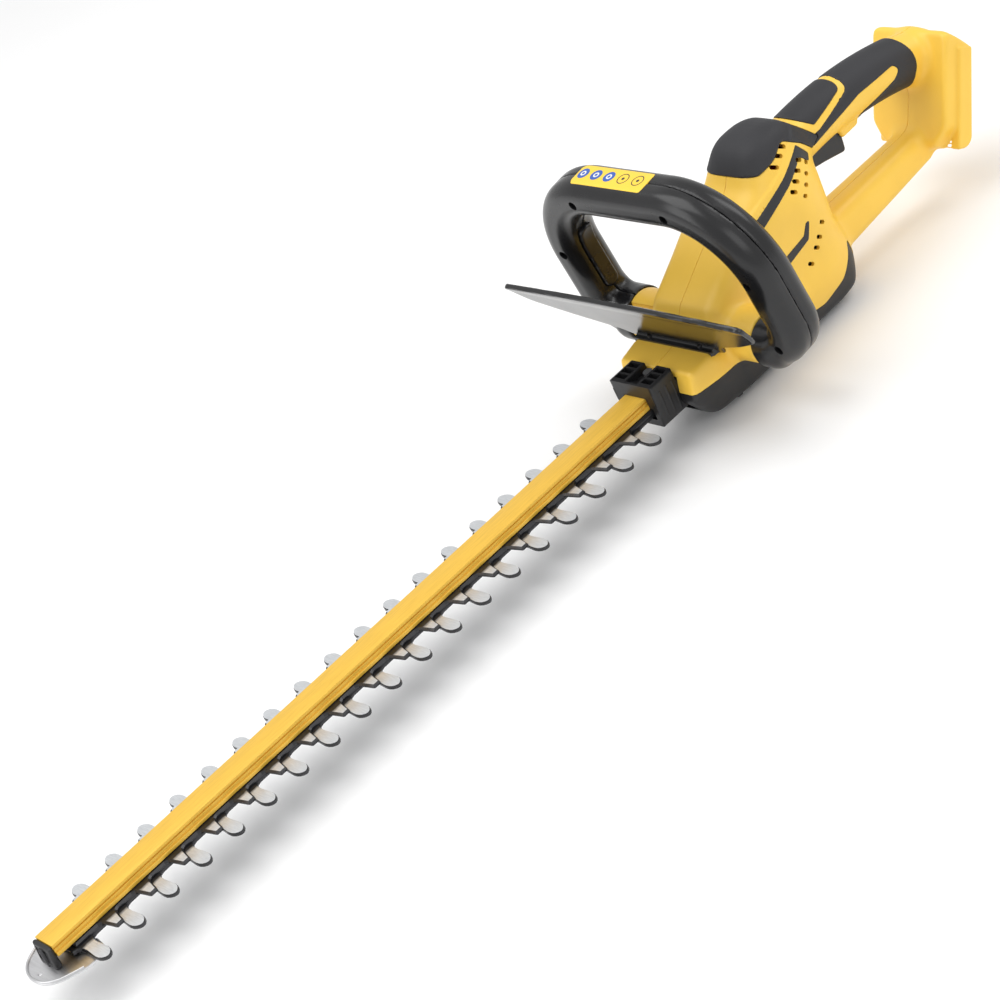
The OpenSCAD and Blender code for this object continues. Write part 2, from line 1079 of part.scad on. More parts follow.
// Long paddle-shaped tooth as [along, outward], from its front root round to its rear root
function long_tooth() =
    let(root = blade_half_w, tip = tooth_reach)
    [
        [6.2, root], [5, root + 2.4], [4.4, root + 8], [5, tip - 12], [5.3, tip - 9], [4.5, tip - 4.5],
        [2, tip - 0.8], [0, tip], [-2, tip - 0.8], [-4.5, tip - 4.5], [-5.3, tip - 9], [-5, tip - 12],
        [-4.4, root + 8], [-5, root + 2.4], [-6.2, root]
    ];

// Short tapered cutting tooth
function short_tooth() = [
    [6.8, blade_half_w], [2.9, 26.8], [2.3, 27.5], [-2.3, 27.5], [-2.9, 26.8], [-6.8, blade_half_w]
];

// A row of teeth along the left edge, from the foremost tooth back
function tooth_row(teeth, tooth, dx) =
    [for (k = [teeth - 1 : -1 : 0]) each [for (q = tooth) [first_tooth_x + dx + k * pitch + q[0], q[1]]]];

// Whole blade outline, anticlockwise: the right edge's teeth forward, the left edge's teeth back
function blade_outline(front_x, right_row, left_row) = concat(
    [[blade_rear_x, -blade_half_w]],
    [for (q = reversed(right_row)) [q[0], -q[1]]],
    [[front_x, -blade_half_w], [front_x, blade_half_w]],
    left_row,
    [[blade_rear_x, blade_half_w]]
);

module blade_plate(z, pts) {
    difference() {
        translate([0, 0, z])
            linear_extrude(blade_t)
                polygon(pts);
        translate([0, 0, z - 1])
            linear_extrude(blade_t + 2)
                slot_2d(2 * (half_stroke + crank_shaft_r) + 1, 2 * crank_shaft_r + 1);
        for (x = guide_bolt_x)
            translate([x, 0, z - 1])
                linear_extrude(blade_t + 2)
                    slot_2d(2 * (half_stroke + bolt_sleeve_r) + 1.6, 2 * bolt_sleeve_r + 1);
    }
}

module blade_upper() {
    row = tooth_row(tooth_count - 1, short_tooth(), short_tooth_dx);
    color(steel) blade_plate(upper_z, blade_outline(658, row, row));
}

module blade_lower() {
    left_row = tooth_row(tooth_count, long_tooth(), 0);
    right_row = tooth_row(tooth_count - 1, long_tooth(), 0);
    color(steel) blade_plate(lower_z, blade_outline(662, right_row, left_row));
}

// Shouldered bolts: a head under the blades, a sleeve in their slots and a thread in the rail
module guide_bolts() {
    head_z = 30.2;
    color(dark_steel)
        for (x = guide_bolt_x)
            translate([x, 0, head_z]) {
                cylinder(h = lower_z - gap - head_z, r = 5.2);
                cylinder(h = rail_z - head_z, r = bolt_sleeve_r);
                cylinder(h = rail_z - head_z + 7, r = 2.5);
            }
}

module end_cap() {
    color(black)
        difference() {
            translate([rail_end_x, -11, 31.6])
                cube([8, 22, 15.4]);
            translate([tip_screw_x, 0, 20])
                cylinder(h = 25.2, r = 2);
        }
}

tip_z = 30;
tip_screw_x = 674;
tip_outline = [
    [646, -29, 3], [662, -30, 20], [tip_x, -16, 24], [tip_x, 16, 24], [662, 30, 20], [646, 29, 3],
    [644, 12, 2], [656, 9, 2], [656, -9, 2], [644, -12, 2]
];

module tip_guard() {
    color(steel)
        difference() {
            union() {
                translate([0, 0, tip_z])
                    linear_extrude(1.6)
                        polygon(outline(tip_outline));
                // Turned-up rim around the nose
                translate([0, 0, tip_z])
                    linear_extrude(3)
                        intersection() {
                            difference() {
                                polygon(outline(tip_outline));
                                polygon(outline(tip_outline, 1.4));
                            }
                            translate([676, -40])
                                square([40, 80]);
                        }
            }
            translate([tip_screw_x, 0, 20])
                cylinder(h = 40, r = 2.1);
            translate([683, 0, 20])
                cylinder(h = 40, r = 1.6);
        }
}

module tip_screw() {
    color(dark_steel)
        translate([tip_screw_x, 0, tip_z]) {
            translate([0, 0, -2.4])
                cylinder(h = 2.4, r = 4);
            translate([0, 0, -1])
                cylinder(h = 16, r = 2);
        }
}

// ---------- Gearbox ----------

module gearbox_plate() {
    color(steel)
        difference() {
            translate([plate_rear_x, -plate_half_w, plate_z])
                linear_extrude(plate_t)
                    polygon(outline([
                        [0, 0, 10], [plate_length, 0, 10], [plate_length, 2 * plate_half_w, 10],
                        [0, 2 * plate_half_w, 10]
                    ]));
            cylinder(h = 200, r = bearing_r);
            translate([motor_x, 0, 0])
                cylinder(h = 200, r = 6);
            for (s = [-1, 1])
                translate([motor_x, s * plate_screw_y, 0])
                    cylinder(h = 100, r = 1.6);
        }
}

module plate_screws() {
    color(dark_steel)
        for (s = [-1, 1])
            translate([motor_x, s * plate_screw_y, 0]) {
                translate([0, 0, plate_z - 1.6])
                    cylinder(h = 1.6, r = 2.6);
                translate([0, 0, plate_z - 1])
                    cylinder(h = 10, r = screw_r);
            }
}

// Gear wheel outline with straight-sided teeth
module gear_2d(teeth) {
    r = gear_m * teeth / 2;
    root = r - 1.2 * gear_m;
    tip = r + 0.75 * gear_m;
    polygon([
        for (k = [0 : teeth - 1])
            each [for (q = [[root, -0.9], [tip, -0.3], [tip, 0.3], [root, 0.9]])
                turned([q[0], q[1] * gear_m], k * 360 / teeth)]
    ]);
}

module crank_gear() {
    color(dark_steel) {
        difference() {
            translate([0, 0, gear_z])
                linear_extrude(gear_h)
                    gear_2d(crank_teeth);
            for (a = [30 : 60 : 330])
                rotate(a)
                    translate([26, 0, gear_z - 1])
                        cylinder(h = gear_h + 2, r = 4.5);
        }
        translate([0, 0, 8.4])
            cylinder(h = 50.6, r = crank_shaft_r);
        // Upper and lower eccentrics, opposite each other
        translate([0, half_stroke, upper_z + blade_t + gap])
            cylinder(h = gear_z + 1 - upper_z - blade_t - gap, r = cam_r);
        translate([0, -half_stroke, 27.5])
            cylinder(h = lower_z - gap - 27.5, r = cam_r);
    }
}

module ring_z(x, z, h, r_in, r_out) {
    translate([x, 0, z])
        difference() {
            cylinder(h = h, r = r_out);
            translate([0, 0, -1])
                cylinder(h = h + 2, r = r_in);
        }
}

module crank_bearings() {
    color(steel) {
        ring_z(0, plate_z, plate_t, crank_shaft_r + 0.05, bearing_r);
        ring_z(0, 8, 7, crank_shaft_r + 0.05, bearing_r);
    }
}

// ---------- Motor ----------

module motor_can() {
    color(steel)
        difference() {
            translate([motor_x, 0, can_z])
                cylinder(h = can_h, r = can_r);
            translate([motor_x, 0, can_z + 2])
                cylinder(h = can_h, r = can_r - can_wall);
            translate([motor_x, 0, 50])
                cylinder(h = 20, r = motor_bearing_r);
            for (s = [-1, 1])
                translate([motor_x, s * plate_screw_y, 0])
                    cylinder(h = 70, r = screw_r);
        }
}

module motor_magnets() {
    color(dark_steel)
        for (s = [0, 180])
            translate([motor_x, 0, 68])
                rotate(s - 65)
                    rotate_extrude(angle = 130)
                        translate([magnet_inner_r, 0])
                            square([can_r - can_wall - magnet_inner_r, 30]);
}

module motor_cap() {
    color(black)
        difference() {
            translate([motor_x, 0, can_z + can_h])
                cylinder(h = cap_h, r = can_r);
            translate([motor_x, 0, 90])
                cylinder(h = 60, r = motor_bearing_r);
        }
}

module motor_bearings() {
    color(copper) {
        ring_z(motor_x, can_z, 2, motor_shaft_r + 0.05, motor_bearing_r);
        ring_z(motor_x, can_z + can_h, cap_h, motor_shaft_r + 0.05, motor_bearing_r);
    }
}

module armature() {
    color(copper)
        translate([motor_x, 0, 0])
            difference() {
                union() {
                    for (k = [0 : 4])
                        rotate(k * 72)
                            translate([0, -3, 70])
                                cube([12, 6, 26]);
                    translate([0, 0, 68])
                        cylinder(h = 30, r = 8);
                    translate([0, 0, 98])
                        cylinder(h = 8, r = 5);
                }
                translate([0, 0, 60])
                    cylinder(h = 60, r = motor_shaft_r + 0.02);
            }
}

module motor_shaft() {
    color(steel)
        translate([motor_x, 0, 45])
            cylinder(h = fan_z + 6 - 45, r = motor_shaft_r);
}

module fan() {
    color(black)
        translate([motor_x, 0, fan_z])
            difference() {
                union() {
                    cylinder(h = 5, r = 5);
                    cylinder(h = 1.4, r = 16);
                    for (k = [0 : 8])
                        rotate(k * 40)
                            translate([4, -0.7, 0])
                                cube([11.6, 1.4, 5]);
                }
                translate([0, 0, -1])
                    cylinder(h = 20, r = motor_shaft_r);
            }
}

module pinion() {
    color(steel)
        translate([motor_x, 0, gear_z - 0.5])
            difference() {
                rotate(180 / pinion_teeth)
                    linear_extrude(gear_h + 1)
                        gear_2d(pinion_teeth);
                translate([0, 0, -1])
                    cylinder(h = gear_h + 3, r = motor_shaft_r);
            }
}

housing_left();
housing_right();
housing_screws();
hump_pad();
thumb_pad();
grip_pad_left();
grip_pad_right();
side_trim_left();
side_trim_right();
bottom_cover();
cover_screws();
terminal_block();
terminal_blades();
trigger();
trigger_pin();
trigger_switch();
wires();
control_board();
loop_front();
loop_rear();
loop_screws();
loop_label();
switch_bar();
front_switch();
handle_bolts();
hand_guard();
guard_screws();
blade_clamp();
clamp_screw();
rail();
blade_upper();
blade_lower();
guide_bolts();
end_cap();
tip_guard();
tip_screw();
gearbox_plate();
plate_screws();
crank_gear();
crank_bearings();
motor_can();
motor_magnets();
motor_cap();
motor_bearings();
armature();
motor_shaft();
fan();
pinion();
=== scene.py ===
"""Looks of a cordless hedge trimmer: skins, pads, handles, blades and materials over its CAD frame.

Lengths below are in millimetres in the frame's own axes (+X along the blade, +Y to the
user's left, +Z up from the sole). They become metres when a mesh is made.
"""
import json
import math

import bmesh
import bpy
import numpy as np
from mathutils import Matrix, Vector


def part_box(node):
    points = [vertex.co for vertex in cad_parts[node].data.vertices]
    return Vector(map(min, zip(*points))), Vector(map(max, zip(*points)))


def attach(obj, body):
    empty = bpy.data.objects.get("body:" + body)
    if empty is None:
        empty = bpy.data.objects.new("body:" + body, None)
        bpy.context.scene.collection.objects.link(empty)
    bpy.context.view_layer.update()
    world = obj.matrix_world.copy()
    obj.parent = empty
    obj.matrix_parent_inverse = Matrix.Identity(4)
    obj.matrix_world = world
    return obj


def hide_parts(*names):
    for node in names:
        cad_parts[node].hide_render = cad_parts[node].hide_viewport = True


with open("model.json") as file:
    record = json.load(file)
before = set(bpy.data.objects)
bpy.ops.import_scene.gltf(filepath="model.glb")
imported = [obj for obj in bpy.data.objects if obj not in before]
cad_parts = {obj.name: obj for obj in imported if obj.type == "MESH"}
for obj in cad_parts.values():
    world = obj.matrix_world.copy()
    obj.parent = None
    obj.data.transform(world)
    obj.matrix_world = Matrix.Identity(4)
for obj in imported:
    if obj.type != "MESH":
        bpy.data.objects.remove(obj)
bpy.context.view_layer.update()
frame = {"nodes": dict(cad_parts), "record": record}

MM = 0.001


def box_mm(node):
    """Lowest and highest corner of a CAD node, in millimetres."""
    low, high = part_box(node)
    return np.array(low) / MM, np.array(high) / MM


# ---------- Camera, lights and floor ----------

CAMERA_AT = (1.0441, 1.4961, 1.0450)
CAMERA_RIGHT = (-0.67360, 0.62193, -0.39932)
CAMERA_LOOK = (-0.40679, -0.76307, -0.50224)
CAMERA_LENS = 105.34


def add_camera():
    """Long lens from high on the left and ahead, turned so that the blade runs corner to corner."""
    look = Vector(CAMERA_LOOK).normalized()
    right = Vector(CAMERA_RIGHT)
    right = (right - right.dot(look) * look).normalized()
    up = right.cross(look)
    camera = bpy.data.objects.new("camera", bpy.data.cameras.new("camera"))
    camera.data.lens = CAMERA_LENS
    camera.data.clip_start = 0.05
    camera.data.clip_end = 50
    turn = Matrix((right, up, -look)).transposed().to_4x4()
    camera.matrix_world = Matrix.Translation(CAMERA_AT) @ turn
    bpy.context.collection.objects.link(camera)
    bpy.context.scene.camera = camera


def add_area_light(name, place, target, size, power, colour=(1, 1, 1)):
    light = bpy.data.lights.new(name, "AREA")
    light.shape = "RECTANGLE"
    light.size, light.size_y = size
    light.energy = power
    light.color = colour
    lamp = bpy.data.objects.new(name, light)
    lamp.location = place
    aim = Vector(target) - Vector(place)
    lamp.rotation_mode = "QUATERNION"
    lamp.rotation_quaternion = aim.to_track_quat("-Z", "Y")
    bpy.context.collection.objects.link(lamp)


def add_studio():
    centre = (0.15, 0, 0.05)
    add_area_light("key_above", (0.5, -0.5, 2.2), centre, (1.8, 1.8), 22)
    add_area_light("front_strip", (2.0, -0.7, 1.1), centre, (1.0, 1.6), 10)
    add_area_light("camera_fill", (0.2, 2.2, 1.5), centre, (1.8, 1.2), 9)
    add_area_light("rear_rim", (-1.4, 0.6, 1.5), centre, (0.8, 1.4), 9)
    world = bpy.data.worlds.new("studio")
    world.use_nodes = True
    background = world.node_tree.nodes["Background"]
    background.inputs["Color"].default_value = (1, 1, 1, 1)
    background.inputs["Strength"].default_value = 0.70
    bpy.context.scene.world = world
    bpy.context.scene.view_settings.view_transform = "Standard"


# ---------- Materials ----------

def node_material(name):
    material = bpy.data.materials.new(name)
    material.use_nodes = True
    tree = material.node_tree
    shader = tree.nodes["Principled BSDF"]
    place = tree.nodes.new("ShaderNodeTexCoord").outputs["Object"]
    return material, tree, shader, place


def noise(tree, place, scale, detail=3.0, stretch=None, roughness=0.55):
    if stretch is not None:
        mapping = tree.nodes.new("ShaderNodeMapping")
        mapping.inputs["Scale"].default_value = stretch
        tree.links.new(place, mapping.inputs["Vector"])
        place = mapping.outputs["Vector"]
    texture = tree.nodes.new("ShaderNodeTexNoise")
    texture.inputs["Scale"].default_value = scale
    texture.inputs["Detail"].default_value = detail
    texture.inputs["Roughness"].default_value = roughness
    tree.links.new(place, texture.inputs["Vector"])
    return texture.outputs["Fac"]


def remap(tree, value, low, high, to_low, to_high):
    mapper = tree.nodes.new("ShaderNodeMapRange")
    for socket, number in zip(("From Min", "From Max", "To Min", "To Max"), (low, high, to_low, to_high)):
        mapper.inputs[socket].default_value = number
    tree.links.new(value, mapper.inputs["Value"])
    return mapper.outputs["Result"]


def blend_colours(tree, factor, first, second):
    mix = tree.nodes.new("ShaderNodeMix")
    mix.data_type = "RGBA"
    tree.links.new(factor, mix.inputs["Factor"])
    for socket, colour in (("A", first), ("B", second)):
        target = next(s for s in mix.inputs if s.name == socket and s.type == "RGBA")
        if isinstance(colour, tuple):
            target.default_value = (*colour, 1)
        else:
            tree.links.new(colour, target)
    return next(s for s in mix.outputs if s.type == "RGBA")


def add_bump(tree, shader, height, strength, distance):
    bump = tree.nodes.new("ShaderNodeBump")
    bump.inputs["Strength"].default_value = strength
    bump.inputs["Distance"].default_value = distance
    tree.links.new(height, bump.inputs["Height"])
    tree.links.new(bump.outputs["Normal"], shader.inputs["Normal"])


def scuffed_and_highlit_edges(tree, colour, edge_scuff_and_highlight_colour, amount):
    """Colour that turns paler along convex edges: partly wear, partly a painted highlight where rounded edges
    would catch the light.
    """
    pointiness = tree.nodes.new("ShaderNodeNewGeometry").outputs["Pointiness"]
    return blend_colours(tree, remap(tree, pointiness, 0.515, 0.6, 0, amount), colour, edge_scuff_and_highlight_colour)


def moulded_plastic(name, colour, roughness, grain=900, grain_depth=0.00004, specular=0.5, edge_scuff_and_highlight=0.25):
    """Moulded plastic: fine spark-eroded grain, faint cloudiness and paler edges, which are partly wear and
    partly a painted edge highlight.
    """
    material, tree, shader, place = node_material(name)
    cloud = noise(tree, place, 14, 4)
    darker = tuple(c * 0.93 for c in colour)
    lighter = tuple(min(c * 1.05 + 0.002, 1) for c in colour)
    # Paler colour for convex edges: partly wear, partly a painted highlight.
    edge_scuff_and_highlight_colour = tuple(min(c * 1.12 + 0.02, 1) for c in colour)
    base = blend_colours(tree, remap(tree, cloud, 0.3, 0.7, 0, 1), darker, lighter)
    tree.links.new(scuffed_and_highlit_edges(tree, base, edge_scuff_and_highlight_colour, edge_scuff_and_highlight), shader.inputs["Base Color"])
    smear = noise(tree, place, 45, 5)
    tree.links.new(
        remap(tree, smear, 0.3, 0.7, roughness * 0.86, roughness * 1.14), shader.inputs["Roughness"]
    )
    shader.inputs["Specular IOR Level"].default_value = specular
    add_bump(tree, shader, noise(tree, place, grain, 2), 0.35, grain_depth)
    return material


def printed_film(name, colour):
    """Smooth printed film, as on the loop's label."""
    return moulded_plastic(name, colour, 0.36, grain=400, grain_depth=0.00001)


def soft_rubber(name, colour):
    """Matt overmoulded rubber with a fine pebbled grain."""
    material, tree, shader, place = node_material(name)
    cells = tree.nodes.new("ShaderNodeTexVoronoi")
    cells.inputs["Scale"].default_value = 1100
    tree.links.new(place, cells.inputs["Vector"])
    dust = noise(tree, place, 22, 5)
    paler = tuple(c * 1.3 + 0.004 for c in colour)
    base = blend_colours(tree, remap(tree, dust, 0.35, 0.75, 0, 1), colour, paler)
    # Convex edges of the rubber turn paler: partly wear, partly a painted highlight.
    tree.links.new(scuffed_and_highlit_edges(tree, base, tuple(c * 2.2 for c in colour), 0.5), shader.inputs["Base Color"])
    tree.links.new(remap(tree, dust, 0.3, 0.7, 0.52, 0.66), shader.inputs["Roughness"])
    shader.inputs["Specular IOR Level"].default_value = 0.42
    add_bump(tree, shader, cells.outputs["Distance"], 0.3, 0.00006)
    return material


def brushed_metal(name, colour, roughness, along=(0.06, 1, 1), scale=900, metallic=1.0):
    """Metal with fine scratches that run one way."""
    material, tree, shader, place = node_material(name)
    lines = noise(tree, place, scale, 4, stretch=along)
    patches = noise(tree, place, 30, 4)
    darker = tuple(c * 0.86 for c in colour)
    base = blend_colours(tree, remap(tree, lines, 0.3, 0.7, 0, 1), darker, colour)
    tree.links.new(base, shader.inputs["Base Color"])
    tree.links.new(
        remap(tree, patches, 0.3, 0.7, roughness * 0.8, roughness * 1.25), shader.inputs["Roughness"]
    )
    shader.inputs["Metallic"].default_value = metallic
    add_bump(tree, shader, lines, 0.25, 0.00003)
    return material


def blade_metal(name, coat_reach, coat_fade):
    """Ground steel teeth that turn to a black coat towards the blade's middle."""
    material, tree, shader, place = node_material(name)
    split = tree.nodes.new("ShaderNodeSeparateXYZ")
    tree.links.new(place, split.inputs["Vector"])
    outward = tree.nodes.new("ShaderNodeMath")
    outward.operation = "ABSOLUTE"
    tree.links.new(split.outputs["Y"], outward.inputs[0])
    lines = noise(tree, place, 1200, 4, stretch=(1, 0.12, 1))
    stain = noise(tree, place, 260, 5)
    wander = tree.nodes.new("ShaderNodeMath")
    wander.operation = "MULTIPLY_ADD"
    wander.inputs[1].default_value = 0.0016
    tree.links.new(stain, wander.inputs[0])
    tree.links.new(outward.outputs[0], wander.inputs[2])
    bare = remap(tree, wander.outputs[0], coat_reach * MM, (coat_reach + coat_fade) * MM, 0, 1)
    streaks = remap(tree, lines, 0.3, 0.7, 0, 1)
    steel = blend_colours(tree, streaks, (0.58, 0.60, 0.62), (0.70, 0.72, 0.74))
    clouds = remap(tree, stain, 0.35, 0.7, 0, 1)
    coat = blend_colours(tree, clouds, (0.012, 0.012, 0.013), (0.03, 0.03, 0.032))
    tree.links.new(blend_colours(tree, bare, coat, steel), shader.inputs["Base Color"])
    tree.links.new(remap(tree, bare, 0, 1, 0.25, 0.6), shader.inputs["Metallic"])
    tree.links.new(remap(tree, stain, 0.3, 0.7, 0.30, 0.42), shader.inputs["Roughness"])
    add_bump(tree, shader, lines, 0.25, 0.00003)
    return material


YELLOW = (0.96, 0.60, 0.075)
BLACK = (0.012, 0.012, 0.013)
MATERIALS = {
    "body_plastic": moulded_plastic("body_plastic", YELLOW, 0.40),
    "soft_grip": soft_rubber("soft_grip", (0.022, 0.022, 0.025)),
    "trim_plastic": moulded_plastic("trim_plastic", (0.020, 0.020, 0.022), 0.48),
    "cover_plastic": moulded_plastic("cover_plastic", BLACK, 0.42),
    "handle_plastic": moulded_plastic("handle_plastic", (0.009, 0.009, 0.010), 0.25, grain=700, specular=0.5),
    "guard_plastic": moulded_plastic("guard_plastic", (0.008, 0.008, 0.009), 0.17, grain=300, specular=0.6),
    "screw_steel": brushed_metal("screw_steel", (0.10, 0.10, 0.105), 0.38, along=(1, 1, 0.2)),
    "bright_steel": brushed_metal("bright_steel", (0.62, 0.62, 0.63), 0.28, along=(1, 1, 0.2)),
    "pin_steel": brushed_metal("pin_steel", (0.5, 0.5, 0.51), 0.3, along=(1, 0.1, 1)),
    "inner_plastic": moulded_plastic("inner_plastic", (0.02, 0.02, 0.021), 0.5),
    "contact_metal": brushed_metal("contact_metal", (0.75, 0.45, 0.18), 0.3),
    "trigger_plastic": moulded_plastic("trigger_plastic", BLACK, 0.4),
    "switch_plastic": moulded_plastic("switch_plastic", (0.009, 0.009, 0.010), 0.3),
    "wire_jacket": moulded_plastic("wire_jacket", (0.35, 0.02, 0.015), 0.4),
    "board": moulded_plastic("board", (0.02, 0.09, 0.035), 0.35),
    "label": printed_film("label", (0.93, 0.62, 0.05)),
    "clamp_plastic": moulded_plastic("clamp_plastic", (0.010, 0.010, 0.011), 0.45),
    "anodised_rail": brushed_metal("anodised_rail", (0.88, 0.53, 0.06), 0.40, metallic=0.2),
    "blade_steel": blade_metal("blade_steel", 17, 3),
    # Blade bevels: their dark colour is a painted shade. Bare ground steel is bright, and the slanted faces
    # only look dark under the lights.
    "bevel_painted_shade": brushed_metal("bevel_painted_shade", (0.06, 0.06, 0.063), 0.30, along=(1, 0.2, 1), metallic=0.8),
    "label_blue": printed_film("label_blue", (0.03, 0.10, 0.42)),
    "label_white": printed_film("label_white", (0.80, 0.80, 0.80)),
    "label_ink": printed_film("label_ink", (0.03, 0.03, 0.03)),
    "tip_steel": brushed_metal("tip_steel", (0.66, 0.66, 0.67), 0.34, along=(1, 0.08, 1)),
    "cast_plate": brushed_metal("cast_plate", (0.5, 0.5, 0.51), 0.45, along=(1, 1, 1), scale=300),
    "gear_steel": brushed_metal("gear_steel", (0.22, 0.22, 0.23), 0.35, along=(1, 1, 0.2)),
    "can_steel": brushed_metal("can_steel", (0.45, 0.45, 0.46), 0.35, along=(1, 1, 0.15)),
    "magnet": brushed_metal("magnet", (0.05, 0.05, 0.052), 0.6, metallic=0.3),
    "bronze": brushed_metal("bronze", (0.5, 0.25, 0.08), 0.4),
    "winding": brushed_metal("winding", (0.62, 0.24, 0.07), 0.3, along=(1, 1, 0.1)),
}


# ---------- Outlines ----------

def rounded(corners, steps=6):
    """Closed outline through corners given as (u, v, radius), each rounded with an arc."""
    points = []
    for i, (u, v, radius) in enumerate(corners):
        here = np.array((u, v), float)
        into = here - np.array(corners[i - 1][:2])
        out = np.array(corners[(i + 1) % len(corners)][:2]) - here
        into /= np.linalg.norm(into)
        out /= np.linalg.norm(out)
        turn = math.atan2(into[0] * out[1] - into[1] * out[0], into @ out)
        if radius < 0.05 or abs(turn) < 0.02:
            points.append(here)
            continue
        side = math.copysign(1, turn)
        start = here - radius * math.tan(abs(turn) / 2) * into
        centre = start + side * radius * np.array((-into[1], into[0]))
        for k in range(steps + 1):
            c, s = math.cos(turn * k / steps), math.sin(turn * k / steps)
            arm = start - centre
            points.append(centre + (c * arm[0] - s * arm[1], s * arm[0] + c * arm[1]))
    return np.array(points)


class Profile:
    """Signed distance to a closed outline, sampled on a grid and read back with a smooth cubic."""

    def __init__(self, points, cell=1.0, margin=16.0):
        points = np.asarray(points, float)
        self.cell = cell
        self.low = points.min(0) - margin
        self.count = np.ceil((points.max(0) + margin - self.low) / cell).astype(int) + 4
        u = self.low[0] + cell * np.arange(self.count[0])
        v = self.low[1] + cell * np.arange(self.count[1])
        u, v = np.meshgrid(u, v, indexing="ij")
        nearest = np.full(u.shape, 1e9)
        inside = np.zeros(u.shape, bool)
        for a, b in zip(points, np.roll(points, -1, 0)):
            run = b - a
            length = run @ run
            if length < 1e-12:
                continue
            t = np.clip(((u - a[0]) * run[0] + (v - a[1]) * run[1]) / length, 0, 1)
            nearest = np.minimum(nearest, np.hypot(u - a[0] - t * run[0], v - a[1] - t * run[1]))
            if run[1] != 0:
                crosses = (a[1] > v) != (b[1] > v)
                inside ^= crosses & (u < run[0] * (v - a[1]) / run[1] + a[0])
        self.grid = np.where(inside, -nearest, nearest).astype(np.float32)

    def __call__(self, u, v):
        steps, weights = [], []
        for k, w in enumerate((u, v)):
            place = np.clip((w - self.low[k]) / self.cell, 1, self.count[k] - 3.001)
            index = place.astype(np.int32)
            t = place - index
            steps.append(index)
            weights.append((
                (1 - t) ** 3 / 6,
                (3 * t ** 3 - 6 * t ** 2 + 4) / 6,
                (-3 * t ** 3 + 3 * t ** 2 + 3 * t + 1) / 6,
                t ** 3 / 6,
            ))
        total = 0
        for a in range(4):
            row = 0
            for b in range(4):
                row = row + weights[1][b] * self.grid[steps[0] + a - 1, steps[1] + b - 1]
            total = total + weights[0][a] * row
        return total


# ---------- Fields: negative inside, positive outside, close to true distance ----------

def smooth_min(a, b, radius):
    h = np.clip(0.5 + 0.5 * (b - a) / radius, 0, 1)
    return b + (a - b) * h - radius * h * (1 - h)


def smooth_max(a, b, radius):
    return -smooth_min(-a, -b, radius)


def smooth_step(value, start, end):
    t = np.clip((value - start) / (end - start), 0, 1)
    return t * t * (3 - 2 * t)


def slab(value, low, high):
    return np.maximum(low - value, value - high)


def cut(shape, tool):
    """A shape with the tool's shape taken out of it."""
    return np.maximum(shape, -tool)


def to_segment(u, v, a, b):
    """Distance to the line between two points, and the share of it passed at the nearest place."""
    run = np.subtract(b, a)
    t = np.clip(((u - a[0]) * run[0] + (v - a[1]) * run[1]) / (run @ run), 0, 1)
    return np.hypot(u - a[0] - t * run[0], v - a[1] - t * run[1]), t


# ---------- Skin of the motor body, grip, strut and battery foot ----------

HUMP_TOP = box_mm("hump_pad")[1][2]
BODY_HALF_W = box_mm("bottom_cover")[1][1]
BOSS_END = box_mm("housing_left")[1][1]
MOUNT_X, MOUNT_Z = 36, 51
BOSS_R = 19

BODY_SIDE = Profile(rounded([
    (97, 34, 3), (91, 55, 3), (64, 58.5, 5), (50, 79, 14), (28, 92, 40), (0, 108.5, 40),
    (-25, 125, 20), (-44, HUMP_TOP, 24), (-78, HUMP_TOP, 30), (-95, 128, 14),
    (-89, 70, 30), (-90, 28, 20), (-82, 6, 12), (-62, 0, 10), (45, 0, 40), (80, 8, 30),
]))
BODY_SECTION = Profile(rounded([
    (-24, 0, 12), (24, 0, 12), (BODY_HALF_W, 40, 20), (BODY_HALF_W, 102, 40),
    (20, HUMP_TOP + 2, 20), (-20, HUMP_TOP + 2, 20), (-BODY_HALF_W, 102, 40), (-BODY_HALF_W, 40, 20),
]))
BODY_PLAN = Profile(rounded([
    (98, -37, 3), (98, 37, 3), (60, BODY_HALF_W + 2, 30), (-58, BODY_HALF_W + 1, 40),
    (-95, 23, 16), (-95, -23, 16), (-58, -BODY_HALF_W - 1, 40), (60, -BODY_HALF_W - 2, 30),
]))
# Raised side panel whose upper edge runs just above the long trim stripe
PANEL = Profile(rounded([
    (30, 96, 5), (-14, 113.5, 10), (-50, 125, 20), (-80, 139, 2), (-120, 150, 2), (-120, 10, 2), (30, 10, 2),
]))


def body_skin(x, y, z):
    """Motor body: its three outlines blended along their edges, with the raised side panels."""
    edge = 5 + smooth_step(-x, -74, -48) * (4 + 11 * smooth_step(z, 20, 60))
    shape = smooth_max(BODY_SIDE(x, z), BODY_SECTION(y, z), edge)
    shape = smooth_max(shape, BODY_PLAN(x, y), edge)
    return shape - panel_rise(x, z)


def panel_rise(x, z):
    return 0.9 * smooth_step(-PANEL(x, z), -0.7, 0.9) * smooth_step(z, 50, 80) * smooth_step(-x, -20, 10)


GRIP_CENTRE = (-122, -200)
GRIP_ARC = 320
GRIP_R = 19.6


def grip_skin(x, y, z):
    rise = np.hypot(x - GRIP_CENTRE[0], z - GRIP_CENTRE[1]) - GRIP_ARC
    tube = np.hypot(rise * 1.02, y * 1.04) - GRIP_R
    return np.maximum(tube, slab(x, -232, -70))


STRUT_FRONT, STRUT_BACK = (-84, 40), (-206, 45)


def strut_skin(x, y, z):
    """Lower strut: a rounded-square bar, thicker where it leaves the body."""
    off, t = to_segment(x, z, STRUT_FRONT, STRUT_BACK)
    return (off ** 3 + np.abs(y) ** 3) ** (1 / 3) - (17.5 - 4 * t)


